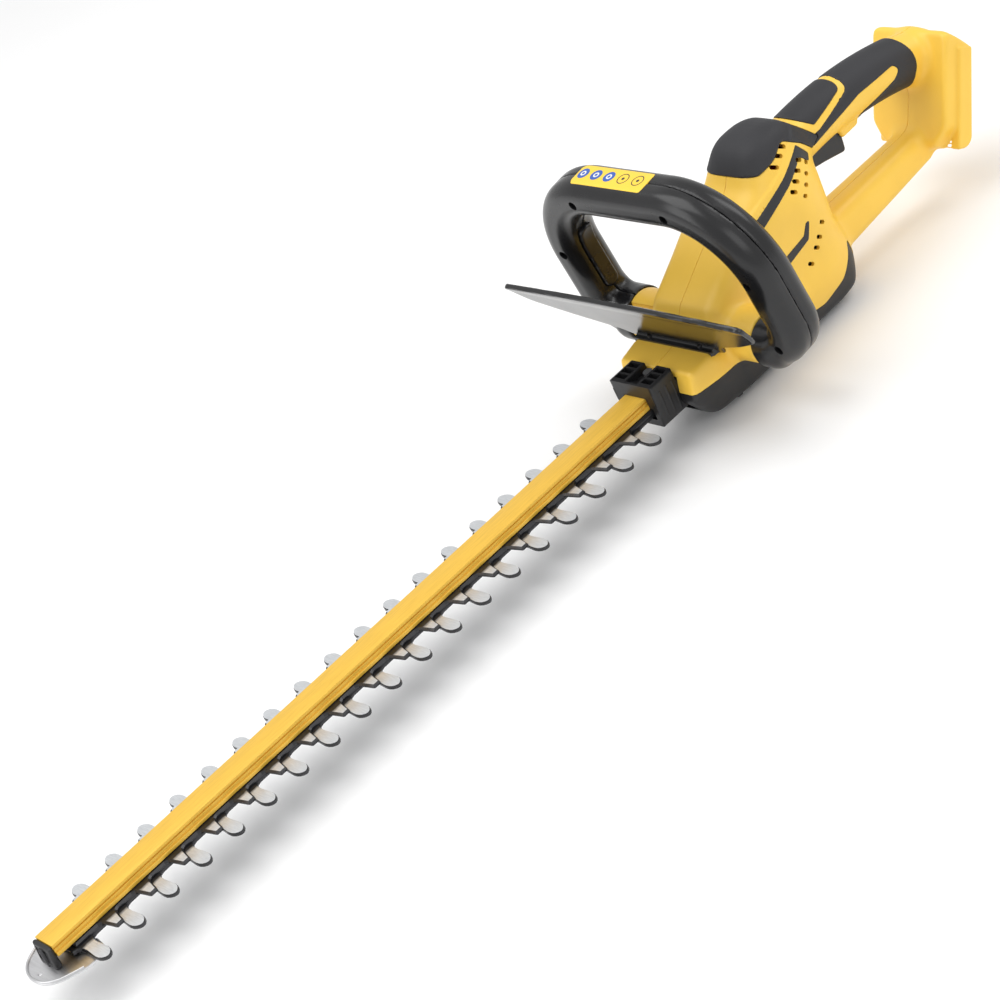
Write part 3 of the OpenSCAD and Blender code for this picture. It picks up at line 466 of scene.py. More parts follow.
# Battery foot: its front face runs down from the top edge, its back face lies parallel to it
FOOT_TOP = np.array((-231, 125))
FOOT_DOWN = np.array((42, -79)) / math.hypot(42, 79)
FOOT_OUT = np.array((-FOOT_DOWN[1], FOOT_DOWN[0])) * -1
FOOT_THICK = 25.4
FOOT_HALF_W = 37
BAND_HALF_W = box_mm("terminal_block")[1][1] + 22
# Front face, as distance across and distance down from its top edge
FOOT_FACE = Profile(rounded([
    (-FOOT_HALF_W, 0, 10), (FOOT_HALF_W, 0, 10), (FOOT_HALF_W, 72, 12), (20, 94, 8),
    (-20, 94, 8), (-FOOT_HALF_W, 72, 12),
]))
FOOT_SIDE = Profile(rounded([(-189, 46, 7), (-231, 125, 4), (-247, 101, 5), (-213, 35, 9)]))


def foot_frame(x, z):
    """Distance down the foot's front face and distance behind it."""
    u, w = x - FOOT_TOP[0], z - FOOT_TOP[1]
    return u * FOOT_DOWN[0] + w * FOOT_DOWN[1], u * FOOT_OUT[0] + w * FOOT_OUT[1]


def foot_skin(x, y, z):
    down, depth = foot_frame(x, z)
    side = FOOT_SIDE(x, z)
    front = smooth_max(side, FOOT_FACE(y, down), 4)
    band = smooth_max(side, np.maximum(np.abs(y) - BAND_HALF_W, 15 - down), 3)
    band = smooth_max(band, FOOT_THICK - 13.5 - depth, 2)
    return smooth_min(front, band, 3)


def boss_skin(x, y, z):
    barrel = np.hypot(x - MOUNT_X, z - MOUNT_Z) - BOSS_R
    return smooth_max(barrel, np.abs(y) - BOSS_END, 2.5)


TRIGGER_BUMP = Profile(rounded([(-131, 95.5, 2), (-127, 112, 1), (-153, 112, 1), (-148.5, 96, 4)]))


def skin(x, y, z):
    """Outer surface of the closed housing."""
    shape = smooth_min(body_skin(x, y, z), grip_skin(x, y, z), 9)
    shape = smooth_min(shape, strut_skin(x, y, z), 12)
    foot = foot_skin(x, y, z)
    shape = smooth_min(shape, foot, 8)
    bump = smooth_max(TRIGGER_BUMP(x, z), np.abs(y) - 9, 3)
    shape = smooth_min(shape, bump, 3)
    return smooth_min(shape, boss_skin(x, y, z), 6)


def body_cavity(x, y, z):
    """Room for the motor and gearbox inside the body."""
    return np.maximum(body_skin(x, y, z) + 3, slab(x, -84, 90))


# ---------- Side-view regions of the pads, trims and openings ----------

HUMP = Profile(rounded([
    (-2, 138, 4), (-20, 134, 6), (-36, 130, 8), (-52, 133, 8), (-66, 139, 6), (-81, 127, 4),
    (-94, 113, 3), (-103, 118, 2), (-84, 143, 3), (-80, 165, 2), (0, 165, 2),
]))
GRIP = Profile(rounded([
    (-94, 113, 1), (-121, 117, 10), (-150, 121, 8), (-189, 119.5, 4), (-193, 114.5, 3), (-186, 110, 5),
    (-150, 104, 6), (-150, 80, 1), (-204, 80, 1), (-206, 100, 30), (-214, 112, 30), (-207, 138, 1),
    (-160, 150, 1), (-143, 138, 4), (-149, 131, 5), (-106, 121, 4), (-101, 121, 2),
]))
THUMB = Profile(rounded([(-88, 142, 2), (-104, 126, 2), (-142, 133, 5), (-138, 150, 2), (-84, 150, 2)]))
STRIPE_LONG = Profile(rounded([
    (-8, 100, 1), (-50, 113, 20), (-72, 122, 1), (-80, 113, 1), (-84, 117, 1), (-75, 130, 1),
    (-50, 120, 20), (-8, 107, 1),
]))
STRIPE_SHORT = Profile(rounded([
    (-22, 66, 1), (-46, 71, 1), (-53, 83, 1), (-49, 83, 1), (-43, 76, 1), (-22, 73, 1),
]))
COVER_LINE = [(112, 41, 0), (40, 35, 14), (0, 26, 14), (-42, 17, 14), (-64, 24, 14), (-88, 43, 3)]
COVER = Profile(rounded([(112, -30, 0), *COVER_LINE, (-88, -30, 0)]))
COVER_SCREWS = [(50, 20), (50, -20), (-62, 17), (-62, -17)]
VENT_LEAN = math.radians(35)
VENT_HALF_W = 1.5
TOP_VENTS = [(-64, 136), (-57, 133), (-49, 129)]
LOW_VENTS = [(-64, 73), (-56, 66), (-50, 61), (-40, 54)]


def vent_slots():
    """Centre and length of each slanted vent slot."""
    slots = [(p, 7.5) for p in TOP_VENTS] + [(p, 6) for p in LOW_VENTS]
    for k in range(4):
        slots.append(((-70 + 6.3 * k, 121 - 4.5 * k), 6.5))
        slots.append(((-76 + 5.8 * k, 115 - 5.3 * k), 4.2))
    return slots


def vents(x, z):
    lean = np.array((math.cos(VENT_LEAN), math.sin(VENT_LEAN)))
    nearest = np.full(np.shape(x), 1e3)
    for centre, length in vent_slots():
        arm = lean * (length / 2 - VENT_HALF_W)
        nearest = np.minimum(nearest, to_segment(x, z, centre - arm, centre + arm)[0] - VENT_HALF_W)
    return nearest


PAD_DEPTH = 2.0


def pad_seats(x, y, z, surface):
    """Everything that the pads and trims take out of the housing."""
    regions = np.minimum(np.minimum(HUMP(x, z), GRIP(x, z)), THUMB(x, z))
    stripes = np.maximum(np.minimum(STRIPE_LONG(x, z), STRIPE_SHORT(x, z)), 10 - np.abs(y))
    return np.maximum(np.minimum(regions, stripes), -(surface + PAD_DEPTH))


NOSE_OPENING_HALF_W = 21.8
NOSE_OPENING_Z = (15, 51)


BATTERY_SLOT_DOWN = (28, 200)


def box_cut(u, u_range, y, half_w, v, v_range):
    """Box across the tool, given by its ranges along two axes and its half width."""
    return np.maximum(slab(u, *u_range), np.maximum(np.abs(y) - half_w, slab(v, *v_range)))


def openings(x, y, z):
    """Nose, trigger slot and the battery's T-shaped slot."""
    nose = box_cut(x, (60, 130), y, NOSE_OPENING_HALF_W, z, NOSE_OPENING_Z)
    trigger = box_cut(x, (-137, -86), y, 6.4, z, (80, 110))
    down, depth = foot_frame(x, z)
    slot = box_cut(depth, (FOOT_THICK - 6, 60), y, 27, down, BATTERY_SLOT_DOWN)
    wide = box_cut(depth, (FOOT_THICK - 13, FOOT_THICK - 5), y, 32, down, BATTERY_SLOT_DOWN)
    return np.minimum(np.minimum(nose, trigger), np.minimum(slot, wide))


SCREW_POSTS = [(48, 66), (22, 86), (-82, 60), (-158, 110), (-118, 42), (-184, 46), (-204, 62)]


def housing(side):
    """One moulded half of the housing; side is 1 for the left half and -1 for the right."""
    def field(x, y, z):
        surface = skin(x, y, z)
        shape = np.maximum(surface, -body_cavity(x, y, z))
        shape = cut(shape, pad_seats(x, y, z, surface))
        shape = cut(shape, COVER(x, z))
        shape = cut(shape, np.maximum(vents(x, z), 8 - np.abs(y)))
        shape = cut(shape, openings(x, y, z))
        if side < 0:
            for post in SCREW_POSTS:
                head = np.maximum(np.hypot(x - post[0], z - post[1]) - 3.5, y + 8)
                shape = cut(shape, head)
        return smooth_max(shape, 0.08 - side * y, 0.7)
    return field


def pad(region, proud, edge, side=0):
    """A soft pad set into the skin; side keeps one half of it."""
    def field(x, y, z):
        surface = skin(x, y, z)
        shape = smooth_max(surface - proud, region(x, z), edge)
        shape = cut(shape, surface + PAD_DEPTH - 0.1)
        return np.maximum(shape, 0.05 - side * y) if side else shape
    return field


def grip_region(x, z):
    """The grip pad without what the hump and thumb pads cover."""
    return np.maximum(GRIP(x, z), 0.3 - np.minimum(HUMP(x, z), THUMB(x, z)))


def grip_pad(side):
    inner = pad(grip_region, 0.7, 1.6, side)

    def field(x, y, z):
        return np.maximum(inner(x, y, z), -openings(x, y, z))
    return field


def trim(side):
    def field(x, y, z):
        surface = skin(x, y, z)
        region = np.minimum(STRIPE_LONG(x, z), STRIPE_SHORT(x, z))
        shape = smooth_max(surface - 0.3, region, 0.8)
        shape = cut(shape, surface + PAD_DEPTH - 0.1)
        shape = cut(shape, vents(x, z))
        return np.maximum(shape, 12 - side * y)
    return field


def cover(x, y, z):
    """Black bottom cover, a shallow shell with screw wells in its sole."""
    shape = smooth_max(skin(x, y, z) + 0.35, COVER(x, z) + 0.25, 1.4)
    shape = cut(shape, body_skin(x, y, z) + 3.2)
    shape = cut(shape, openings(x, y, z))
    for sx, sy in COVER_SCREWS:
        shape = cut(shape, np.maximum(np.hypot(x - sx, y - sy) - 3.5, z - 5))
    return shape


# ---------- Front loop handle ----------

LOOP_LEAN = math.radians(6)
LOOP_HALF_W = 98
LOOP_RISE = 120
LOOP_TOP_HALF = 38
LOOP_BIG_R = LOOP_HALF_W - LOOP_TOP_HALF
LOOP_SMALL_R = 26
LOOP_BAND = 29
LOOP_DEPTH = 34
LOOP_CORNER = 12
LOOP_SCREWS = [(47, 119), (95, 66), (91, 8)]
LOOP_BEND_Z = LOOP_RISE - LOOP_BIG_R


def loop_frame(x, z):
    """Depth in front of the loop's mid plane, and height above its mounting axis."""
    u, w = x - MOUNT_X, z - MOUNT_Z
    c, s = math.cos(LOOP_LEAN), math.sin(LOOP_LEAN)
    return u * c - w * s, u * s + w * c


def loop_line(y, h):
    """Distance from the loop's centre line within its plane."""
    y = np.abs(y)
    top = np.hypot(np.maximum(y - LOOP_TOP_HALF, 0), h - LOOP_RISE)
    leg = np.hypot(y - LOOP_HALF_W, h - np.clip(h, LOOP_SMALL_R, LOOP_BEND_Z))
    end_y = LOOP_HALF_W - LOOP_SMALL_R
    end = np.hypot(y - np.clip(y, BOSS_END, end_y), h)
    bend = np.abs(np.hypot(y - LOOP_TOP_HALF, h - LOOP_BEND_Z) - LOOP_BIG_R)
    bend = np.where((y > LOOP_TOP_HALF) & (h > LOOP_BEND_Z), bend, 1e3)
    low = np.abs(np.hypot(y - end_y, h - LOOP_SMALL_R) - LOOP_SMALL_R)
    low = np.where((y > end_y) & (h < LOOP_SMALL_R), low, 1e3)
    return np.minimum(np.minimum(np.minimum(top, leg), np.minimum(end, bend)), low)


def loop_skin(x, y, z):
    depth, h = loop_frame(x, z)
    across = loop_line(y, h) - (LOOP_BAND / 2 - LOOP_CORNER)
    deep = np.abs(depth) - (LOOP_DEPTH / 2 - LOOP_CORNER)
    outside = np.hypot(np.maximum(across, 0), np.maximum(deep, 0))
    tube = outside + np.minimum(np.maximum(across, deep), 0) - LOOP_CORNER
    hub = smooth_max(np.hypot(depth, h) - 18.5, slab(np.abs(y), BOSS_END, BOSS_END + 14), 6)
    shape = smooth_min(tube, hub, 10)
    inner_end = np.minimum(BOSS_END + 0.4 - np.abs(y), LOOP_BEND_Z - h)
    return smooth_max(shape, inner_end, 1.5)


BAR_FROM, BAR_TO = 26, 90
BAR_HALF_W = 6
BAR_PROUD = 3


def switch_bar(x, y, z, grow=0.0, sink=0.0):
    """Switch bar on the inner edge of the right leg; grow and sink give its slot."""
    depth, h = loop_frame(x, z)
    arm = np.maximum(-y - LOOP_TOP_HALF, 1e-3)
    radius = np.hypot(arm, h - LOOP_BEND_Z)
    bent = h > LOOP_BEND_Z
    inward = np.where(bent, radius - LOOP_BIG_R, arm - LOOP_BIG_R)
    along = np.where(bent, LOOP_BEND_Z + LOOP_BIG_R * np.arctan2(h - LOOP_BEND_Z, arm), h)
    past_end = along - np.clip(along, BAR_FROM + BAR_HALF_W, BAR_TO - BAR_HALF_W)
    plan = np.hypot(depth, past_end) - BAR_HALF_W - grow
    inner = -LOOP_BAND / 2 - BAR_PROUD
    shape = smooth_max(plan, slab(inward, inner, inner + 7 + sink), 1.6)
    return np.where(y < 0, shape, 50.0)


def loop_half(front):
    """Front or rear moulding of the loop."""
    def field(x, y, z):
        depth, h = loop_frame(x, z)
        shape = loop_skin(x, y, z)
        facing = depth if front else -depth
        shape = smooth_max(shape, 0.06 - facing, 1.8)
        shape = cut(shape, switch_bar(x, y, z, 0.7, 4))
        if front:
            for sy, sz in LOOP_SCREWS:
                well = np.hypot(np.abs(y) - sy, h - sz) - 3.5
                shape = cut(shape, np.maximum(well, 7 - depth))
        return shape
    return field


# ---------- Hand guard ----------

GUARD_BASE = (63, 57)
GUARD_TILT = math.radians(32.5)
GUARD_THICK = 3.0
GUARD_HALF_W = box_mm("hand_guard")[1][1]
GUARD_OUTLINE = Profile(rounded([
    (-44, -4, 3), (44, -4, 3), (52, 9, 16), (88, 25, 40), (GUARD_HALF_W - 8, 42, 18),
    (GUARD_HALF_W - 0.5, 66.5, 5), (50, 71, 60), (0, 72, 60), (-50, 71, 60),
    (0.5 - GUARD_HALF_W, 66.5, 5), (8 - GUARD_HALF_W, 42, 18), (-88, 25, 40), (-52, 9, 16),
]))


def guard(x, y, z):
    u, w = x - GUARD_BASE[0], z - GUARD_BASE[1]
    c, s = math.cos(GUARD_TILT), math.sin(GUARD_TILT)
    ahead, up = u * c - w * s, u * s + w * c
    outline = GUARD_OUTLINE(y, up)
    lip = smooth_step(up, 58, 66) * smooth_step(-outline, -6, -1)
    plate = smooth_max(np.abs(ahead) - GUARD_THICK / 2 - 0.5 * lip, outline, 1.6)
    foot = np.maximum(slab(x, 58, 71), np.maximum(np.abs(y) - 40, slab(z, 54, 60.6 - 0.1 * (x - 60))))
    shape = smooth_min(plate, foot + 0.4, 1.5)
    return np.maximum(shape, -(body_skin(x, y, z) - 0.1))


# ---------- Trigger, blade clamp and end cap ----------

TRIGGER = Profile(rounded([
    (-88.5, 93, 2), (-91, 100, 3), (-124, 106, 3), (-134, 104, 3), (-131.5, 84, 2.5), (-112, 88.5, 30),
]))


def trigger(x, y, z):
    finger = TRIGGER(x, z) - 0.25 * smooth_step(-np.abs(y), -5, -2)
    return smooth_max(finger, np.abs(y) - 5.6, 2)


CLAMP_LOW, CLAMP_HIGH = box_mm("blade_clamp")
RAIL_LOW, RAIL_HIGH = box_mm("rail")
BLADE_SLOT = (30.4, RAIL_LOW[2] + 0.3)
CLAMP_BLOCK_X = 92.6
CHANNEL_HALF_W = 6
POCKETS = [(94.6 + 6.4 * k, 99.2 + 6.4 * k) for k in range(3)]


def clamp(x, y, z):
    """Black clamp that carries the rail: a block with a channel and pockets in its top."""
    side = np.abs(y)
    block = np.maximum(slab(x, CLAMP_BLOCK_X, CLAMP_HIGH[0]), slab(z, CLAMP_LOW[2], CLAMP_HIGH[2]))
    tenon = np.maximum(slab(x, CLAMP_LOW[0], CLAMP_HIGH[0]), slab(z, CLAMP_LOW[2], 50.4))
    shape = np.minimum(block, tenon)
    narrowing = 0.10 * np.clip(44 - z, 0, 20)
    shape = smooth_max(shape, side - CLAMP_HIGH[1] + narrowing, 2.4)
    gap = np.maximum(slab(z, *BLADE_SLOT), side - 14.5)
    shape = cut(shape, gap)
    rail = np.maximum(side - RAIL_HIGH[1] - 0.2, np.maximum(z - RAIL_HIGH[2] - 0.2, RAIL_LOW[0] - 0.4 - x))
    shape = cut(shape, np.maximum(rail, RAIL_LOW[2] - 2 - z))
    floor = CLAMP_HIGH[2] - 6 + 4 * smooth_step(x, 104, 113)
    channel = np.maximum(side - CHANNEL_HALF_W, np.maximum(floor - z, x - CLAMP_HIGH[0] + 2.6))
    shape = smooth_max(shape, -channel, 0.8)
    for start, end in POCKETS:
        pocket = np.maximum(slab(x, start, end), np.maximum(slab(side, 8.4, 18.6), CLAMP_HIGH[2] - 7 - z))
        shape = cut(shape, pocket)
    # Upright ribs on the flanks
    ribs = 0.5 * np.clip(np.abs((x - 97) % 6.4 - 3.2) - 2.2, 0, 1) * (side > CLAMP_HIGH[1] - 2) * (z < 52)
    return shape - 0.6 * ribs


CAP_LOW, CAP_HIGH = box_mm("end_cap")


def end_cap(x, y, z):
    """Black cap over the rail's front end, with a lip on its face."""
    front = CAP_HIGH[0] - 2.5 - 0.12 * (z - CAP_LOW[2])
    shape = smooth_max(np.maximum(CAP_LOW[0] - x, x - front), np.abs(y) - CAP_HIGH[1], 3.5)
    shape = smooth_max(shape, slab(z, CAP_LOW[2], CAP_HIGH[2]), 1.2)
    dish = np.maximum(np.abs(y) - CAP_HIGH[1] + 3.4, slab(z, CAP_LOW[2] + 3, CAP_HIGH[2] - 2.4))
    return np.maximum(shape, -np.maximum(dish, front - 0.6 - x))


# ---------- Meshing ----------

def gradient(field, x, y, z, step=0.02):
    g = [
        field(x + step * (k == 0), y + step * (k == 1), z + step * (k == 2))
        - field(x - step * (k == 0), y - step * (k == 1), z - step * (k == 2))
        for k in range(3)
    ]
    g = np.stack(g, 1)
    return g / np.maximum(np.linalg.norm(g, axis=1, keepdims=True), 1e-9)


def sample_field(field, low, cell, blocks, block=6):
    """Field on a regular grid, worked out in full only close to the surface."""
    centres = [low[k] + cell * (block * (np.arange(blocks[k]) + 0.5) - 0.5) for k in range(3)]
    coarse = field(*(a.ravel() for a in np.meshgrid(*centres, indexing="ij"))).reshape(blocks)
    near = np.abs(coarse) < cell * block * 1.35
    full = np.where(coarse < 0, -9.0, 9.0).astype(np.float32)
    for axis in range(3):
        full = np.repeat(full, block, axis)
        near = np.repeat(near, block, axis)
    index = np.nonzero(near)
    places = [low[k] + cell * index[k] for k in range(3)]
    full[index] = field(*places)
    return full


def contour(field, low, high, cell):
    """Quad mesh of a field's zero surface that keeps its sharp edges (dual contouring)."""
    low, high = np.array(low, float), np.array(high, float)
    block = 6
    blocks = tuple(np.ceil((high - low) / cell / block).astype(int) + 1)
    values = sample_field(field, low, cell, blocks, block)
    inside = values < 0
    shape = values.shape
    places, owners, quads = [], [], []
    for axis in range(3):
        ahead = [slice(None)] * 3
        behind = [slice(None)] * 3
        ahead[axis], behind[axis] = slice(1, None), slice(None, -1)
        crossing = inside[tuple(ahead)] != inside[tuple(behind)]
        i, j, k = np.nonzero(crossing)
        node = np.stack([i, j, k], 1)
        others = [a for a in range(3) if a != axis]
        keep = (node[:, others[0]] > 0) & (node[:, others[1]] > 0)
        node = node[keep]
        step = np.eye(3, dtype=int)
        a = values[tuple(node.T)]
        b = values[tuple((node + step[axis]).T)]
        spot = low + cell * (node + np.outer(np.clip(a / (a - b), 0.02, 0.98), step[axis]))
        around = [
            node - du * step[others[0]] - dv * step[others[1]]
            for du, dv in ((0, 0), (1, 0), (1, 1), (0, 1))
        ]
        ids = np.stack([np.ravel_multi_index(tuple(c.T), shape) for c in around], 1)
        outward = (a < 0) == (axis != 1)
        quads.append(np.where(outward[:, None], ids[:, ::-1], ids)[:, ::-1])
        places.append(spot)
        owners.append(ids)
    places, owners, quads = np.concatenate(places), np.concatenate(owners), np.concatenate(quads)
    normals = gradient(field, *places.T)
    # One refining step puts each crossing on the surface itself
    places = places - normals * np.clip(field(*places.T), -cell / 2, cell / 2)[:, None]
    cells, owner = np.unique(owners.ravel(), return_inverse=True)
    owner = owner.reshape(-1)
    count = len(cells)

    def gather(weights):
        return np.bincount(owner, np.repeat(weights, 4), count)

    share = gather(np.ones(len(places)))
    middle = np.stack([gather(places[:, k]) for k in range(3)], 1) / share[:, None]
    push = (normals * places).sum(1)
    square = np.empty((count, 3, 3))
    for r in range(3):
        for c in range(3):
            square[:, r, c] = gather(normals[:, r] * normals[:, c])
    reach = np.stack([gather(normals[:, k] * push) for k in range(3)], 1)
    reach -= np.einsum("nij,nj->ni", square, middle)
    square += 0.06 * np.eye(3) * share[:, None, None]
    move = np.linalg.solve(square, reach[:, :, None])[:, :, 0]
    origin = low + cell * np.stack(np.unravel_index(cells, shape), 1)
    points = np.clip(middle + move, origin - 0.1 * cell, origin + 1.1 * cell)
    faces = np.searchsorted(cells, quads)
    return points, faces


def mesh_from_arrays(name, points, faces):
    mesh = bpy.data.meshes.new(name)
    faces = np.asarray(faces)
    mesh.vertices.add(len(points))
    mesh.vertices.foreach_set("co", (np.asarray(points) * MM).astype(np.float32).ravel())
    mesh.loops.add(faces.size)
    mesh.loops.foreach_set("vertex_index", faces.ravel().astype(np.int32))
    mesh.polygons.add(len(faces))
    mesh.polygons.foreach_set("loop_start", (np.arange(len(faces)) * faces.shape[1]).astype(np.int32))
    mesh.update(calc_edges=True)
    mesh.validate()
    return mesh


def finish_piece(name, mesh, slot, body, nodes, sharp=32):
    """Turns a mesh into a shaded piece that rides on a body and stands for its CAD nodes."""
    mesh.shade_smooth()
    mesh.set_sharp_from_angle(angle=math.radians(sharp))
    piece = bpy.data.objects.new(name, mesh)
    piece.data.materials.append(MATERIALS[slot])
    bpy.context.collection.objects.link(piece)
    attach(piece, body)
    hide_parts(*nodes)
    return piece


def field_piece(name, field, low, high, cell, slot, nodes, body="tool_body"):
    """A piece contoured from a field, in a box with the given cell size."""
    points, faces = contour(field, low, high, cell)
    return finish_piece(name, mesh_from_arrays(name, points, faces), slot, body, nodes)


def node_piece(name, field, node, margin, cell, slot, body="tool_body"):
    """A field piece in the box of the CAD node that it replaces."""
    low, high = box_mm(node)
    return field_piece(name, field, low - margin, high + margin, cell, slot, [node], body)


def build_housing():
    """Both shells with their grip pads and trims, then the pads and the cover on the middle line."""
    for side, word in ((1, "left"), (-1, "right")):
        low_y, high_y = (-2, BOSS_END + 3) if side > 0 else (-BOSS_END - 3, 2)
        field_piece(
            f"housing_{word}_shell", housing(side), (-252, low_y, 12), (102, high_y, HUMP_TOP + 4), 1.25,
            "body_plastic", [f"housing_{word}"],
        )
        reach = (-1, 24) if side > 0 else (-24, 1)
        field_piece(
            f"grip_{word}_pad", grip_pad(side), (-214, reach[0], 84), (-88, reach[1], 146), 1.1,
            "soft_grip", [f"grip_pad_{word}"],
        )
        reach = (9, 48) if side > 0 else (-48, -9)
        field_piece(
            f"side_{word}_trim", trim(side), (-88, reach[0], 60), (-4, reach[1], 134), 0.9,
            "trim_plastic", [f"side_trim_{word}"],
        )
    field_piece(
        "hump_rubber", pad(HUMP, 0.8, 2.2), (-108, -46, 106), (2, 46, HUMP_TOP + 4), 1.1,
        "soft_grip", ["hump_pad"],
    )
    field_piece(
        "thumb_rubber", pad(THUMB, 0.8, 2), (-146, -26, 118), (-82, 26, 146), 1.0,
        "soft_grip", ["thumb_pad"],
    )
    field_piece(
        "bottom_shell", cover, (-98, -46, -3), (104, 46, 44), 1.25, "cover_plastic", ["bottom_cover"]
    )


def build_loop():
    """Front and rear mouldings of the loop, and its switch bar."""
    for word in ("front", "rear"):
        node = f"loop_{word}"
        node_piece(f"{node}_shell", loop_half(word == "front"), node, 3, 1.15, "handle_plastic")
    node_piece("switch_bar_cap", switch_bar, "switch_bar", 3, 0.8, "switch_plastic", "front_bar")


def build_guard():
    """The hand guard with its foot."""
    node_piece("guard_plate", guard, "hand_guard", 3, 1.1, "guard_plastic")


def mesh_from_builder(name, builder):
    """Turns a finished bmesh into a mesh and frees it."""
    mesh = bpy.data.meshes.new(name)
    builder.to_mesh(mesh)
    builder.free()
    return mesh


def fill_loops(builder, loops, upward, index=0):
    """Caps an outer loop of vertices and the holes inside it."""
    edges = []
    for loop in loops:
        for a, b in zip(loop, loop[1:] + loop[:1]):
            edges.append(builder.edges.get((a, b)) or builder.edges.new((a, b)))
    made = bmesh.ops.triangle_fill(builder, edges=edges, use_beauty=True)["geom"]
    for face in made:
        if isinstance(face, bmesh.types.BMFace):
            face.normal_update()
            face.material_index = index
            if (face.normal.z > 0) != upward:
                face.normal_flip()


def inset(points, amount):
    """Closed anticlockwise outline moved inward."""
    points = np.asarray(points, float)
    into = points - np.roll(points, 1, 0)
    out = np.roll(points, -1, 0) - points
    into /= np.linalg.norm(into, axis=1, keepdims=True)
    out /= np.linalg.norm(out, axis=1, keepdims=True)
    left_in = np.stack([-into[:, 1], into[:, 0]], 1)
    left_out = np.stack([-out[:, 1], out[:, 0]], 1)
    scale = 1 + (left_in * left_out).sum(1, keepdims=True)
    return points + amount * (left_in + left_out) / np.maximum(scale, 0.35)


def ground_plate(name, outline, holes, low_z, high_z, bevel, drop, slots, body, nodes):
    """Flat plate whose upper rim is ground to a bevel. The bevel takes the second material, which on the
    blades is dark as a painted shade.
    """
    builder = bmesh.new()

    def ring(points, z):
        return [builder.verts.new((p[0] * MM, p[1] * MM, z * MM)) for p in points]

    rims = [ring(outline, low_z), ring(outline, high_z - drop), ring(inset(outline, bevel), high_z)]
    wells = [[ring(hole, low_z), ring(hole, high_z)] for hole in holes]
    for stack in [rims, *wells]:
        for under, over in zip(stack, stack[1:]):
            for k in range(len(under)):
                m = (k + 1) % len(under)
                face = builder.faces.new((under[k], under[m], over[m], over[k]))
                face.material_index = 1 if len(stack) == 3 else 0
    fill_loops(builder, [rims[0]] + [well[0] for well in wells], False)
    fill_loops(builder, [rims[2]] + [well[1] for well in wells], True)
    mesh = mesh_from_builder(name, builder)
    piece = finish_piece(name, mesh, slots[0], body, nodes, sharp=20)
    piece.data.materials.append(MATERIALS[slots[1]])
    return piece


def slot_outline(x, length, width, steps=10):
    """Round-ended slot along X, clockwise so that its wall faces inward."""
    arm = (length - width) / 2
    points = []
    for side in (1, -1):
        for k in range(steps + 1):
            angle = math.pi / 2 - math.pi * k / steps
            along = x + side * (arm + width / 2 * math.cos(angle))
            points.append((along, side * width / 2 * math.sin(angle)))
    return points


PITCH = 28.5
FIRST_TOOTH_X = 139
SHORT_TOOTH_SHIFT = 7.3
TOOTH_COUNT = 19
BLADE_EDGE_Y = 13
BLADE_REAR_X = -22
CRANK_SLOT = (27, 11)
BOLT_SLOT = (23.6, 7)
BOLT_X = (160, 255, 350, 445, 540, 636)
# Half outlines of the teeth from root to tip, as (half width, distance from the middle)
LONG_TOOTH = [
    (9.5, 13), (6.6, 14), (5.3, 15.8), (4.6, 18.6), (4.45, 22), (4.75, 26), (5.15, 30), (5.3, 33),
    (4.95, 36), (3.9, 38.6), (2.2, 40.6), (0.7, 41.4),
]
SHORT_TOOTH = [(8.6, 13), (6.4, 14.2), (5.1, 17), (4.2, 21), (3.3, 25.6), (2.9, 27), (2.3, 27.5)]


def tooth_row(count, half_tooth, shift):
    """One row of teeth from the rear forward, as distances along and out from the blade's middle."""
    row = []
    for k in range(count):
        middle = FIRST_TOOTH_X + shift + k * PITCH
        row += [(middle - w, v) for w, v in half_tooth] + [(middle + w, v) for w, v in half_tooth[::-1]]
    return row


def blade_outline(front_x, right_row, left_row):
    """Anticlockwise outline with teeth down both edges."""
    return [
        (BLADE_REAR_X, -BLADE_EDGE_Y), *[(u, -v) for u, v in right_row], (front_x, -BLADE_EDGE_Y),
        (front_x, BLADE_EDGE_Y), *left_row[::-1], (BLADE_REAR_X, BLADE_EDGE_Y),
    ]


def build_blades():
    """Upper blade with short teeth and lower blade with long teeth, ground along their edges, with a painted
    shade in the dark colour of the bevels.
    """
    holes = [slot_outline(0, *CRANK_SLOT)] + [slot_outline(x, *BOLT_SLOT) for x in BOLT_X]
    low, high = box_mm("blade_upper")
    short = tooth_row(TOOTH_COUNT - 1, SHORT_TOOTH, SHORT_TOOTH_SHIFT)
    ground_plate(
        "blade_upper_ground", blade_outline(high[0], short, short), holes, low[2], high[2], 1.15, 1.4,
        ("blade_steel", "bevel_painted_shade"), "upper_blade_slide", ["blade_upper"],
    )
    low, high = box_mm("blade_lower")
    right, left = (tooth_row(count, LONG_TOOTH, 0) for count in (TOOTH_COUNT - 1, TOOTH_COUNT))
    ground_plate(
        "blade_lower_ground", blade_outline(high[0], right, left), holes, low[2], high[2], 0.45, 0.9,
        ("blade_steel", "bevel_painted_shade"), "lower_blade_slide", ["blade_lower"],
    )


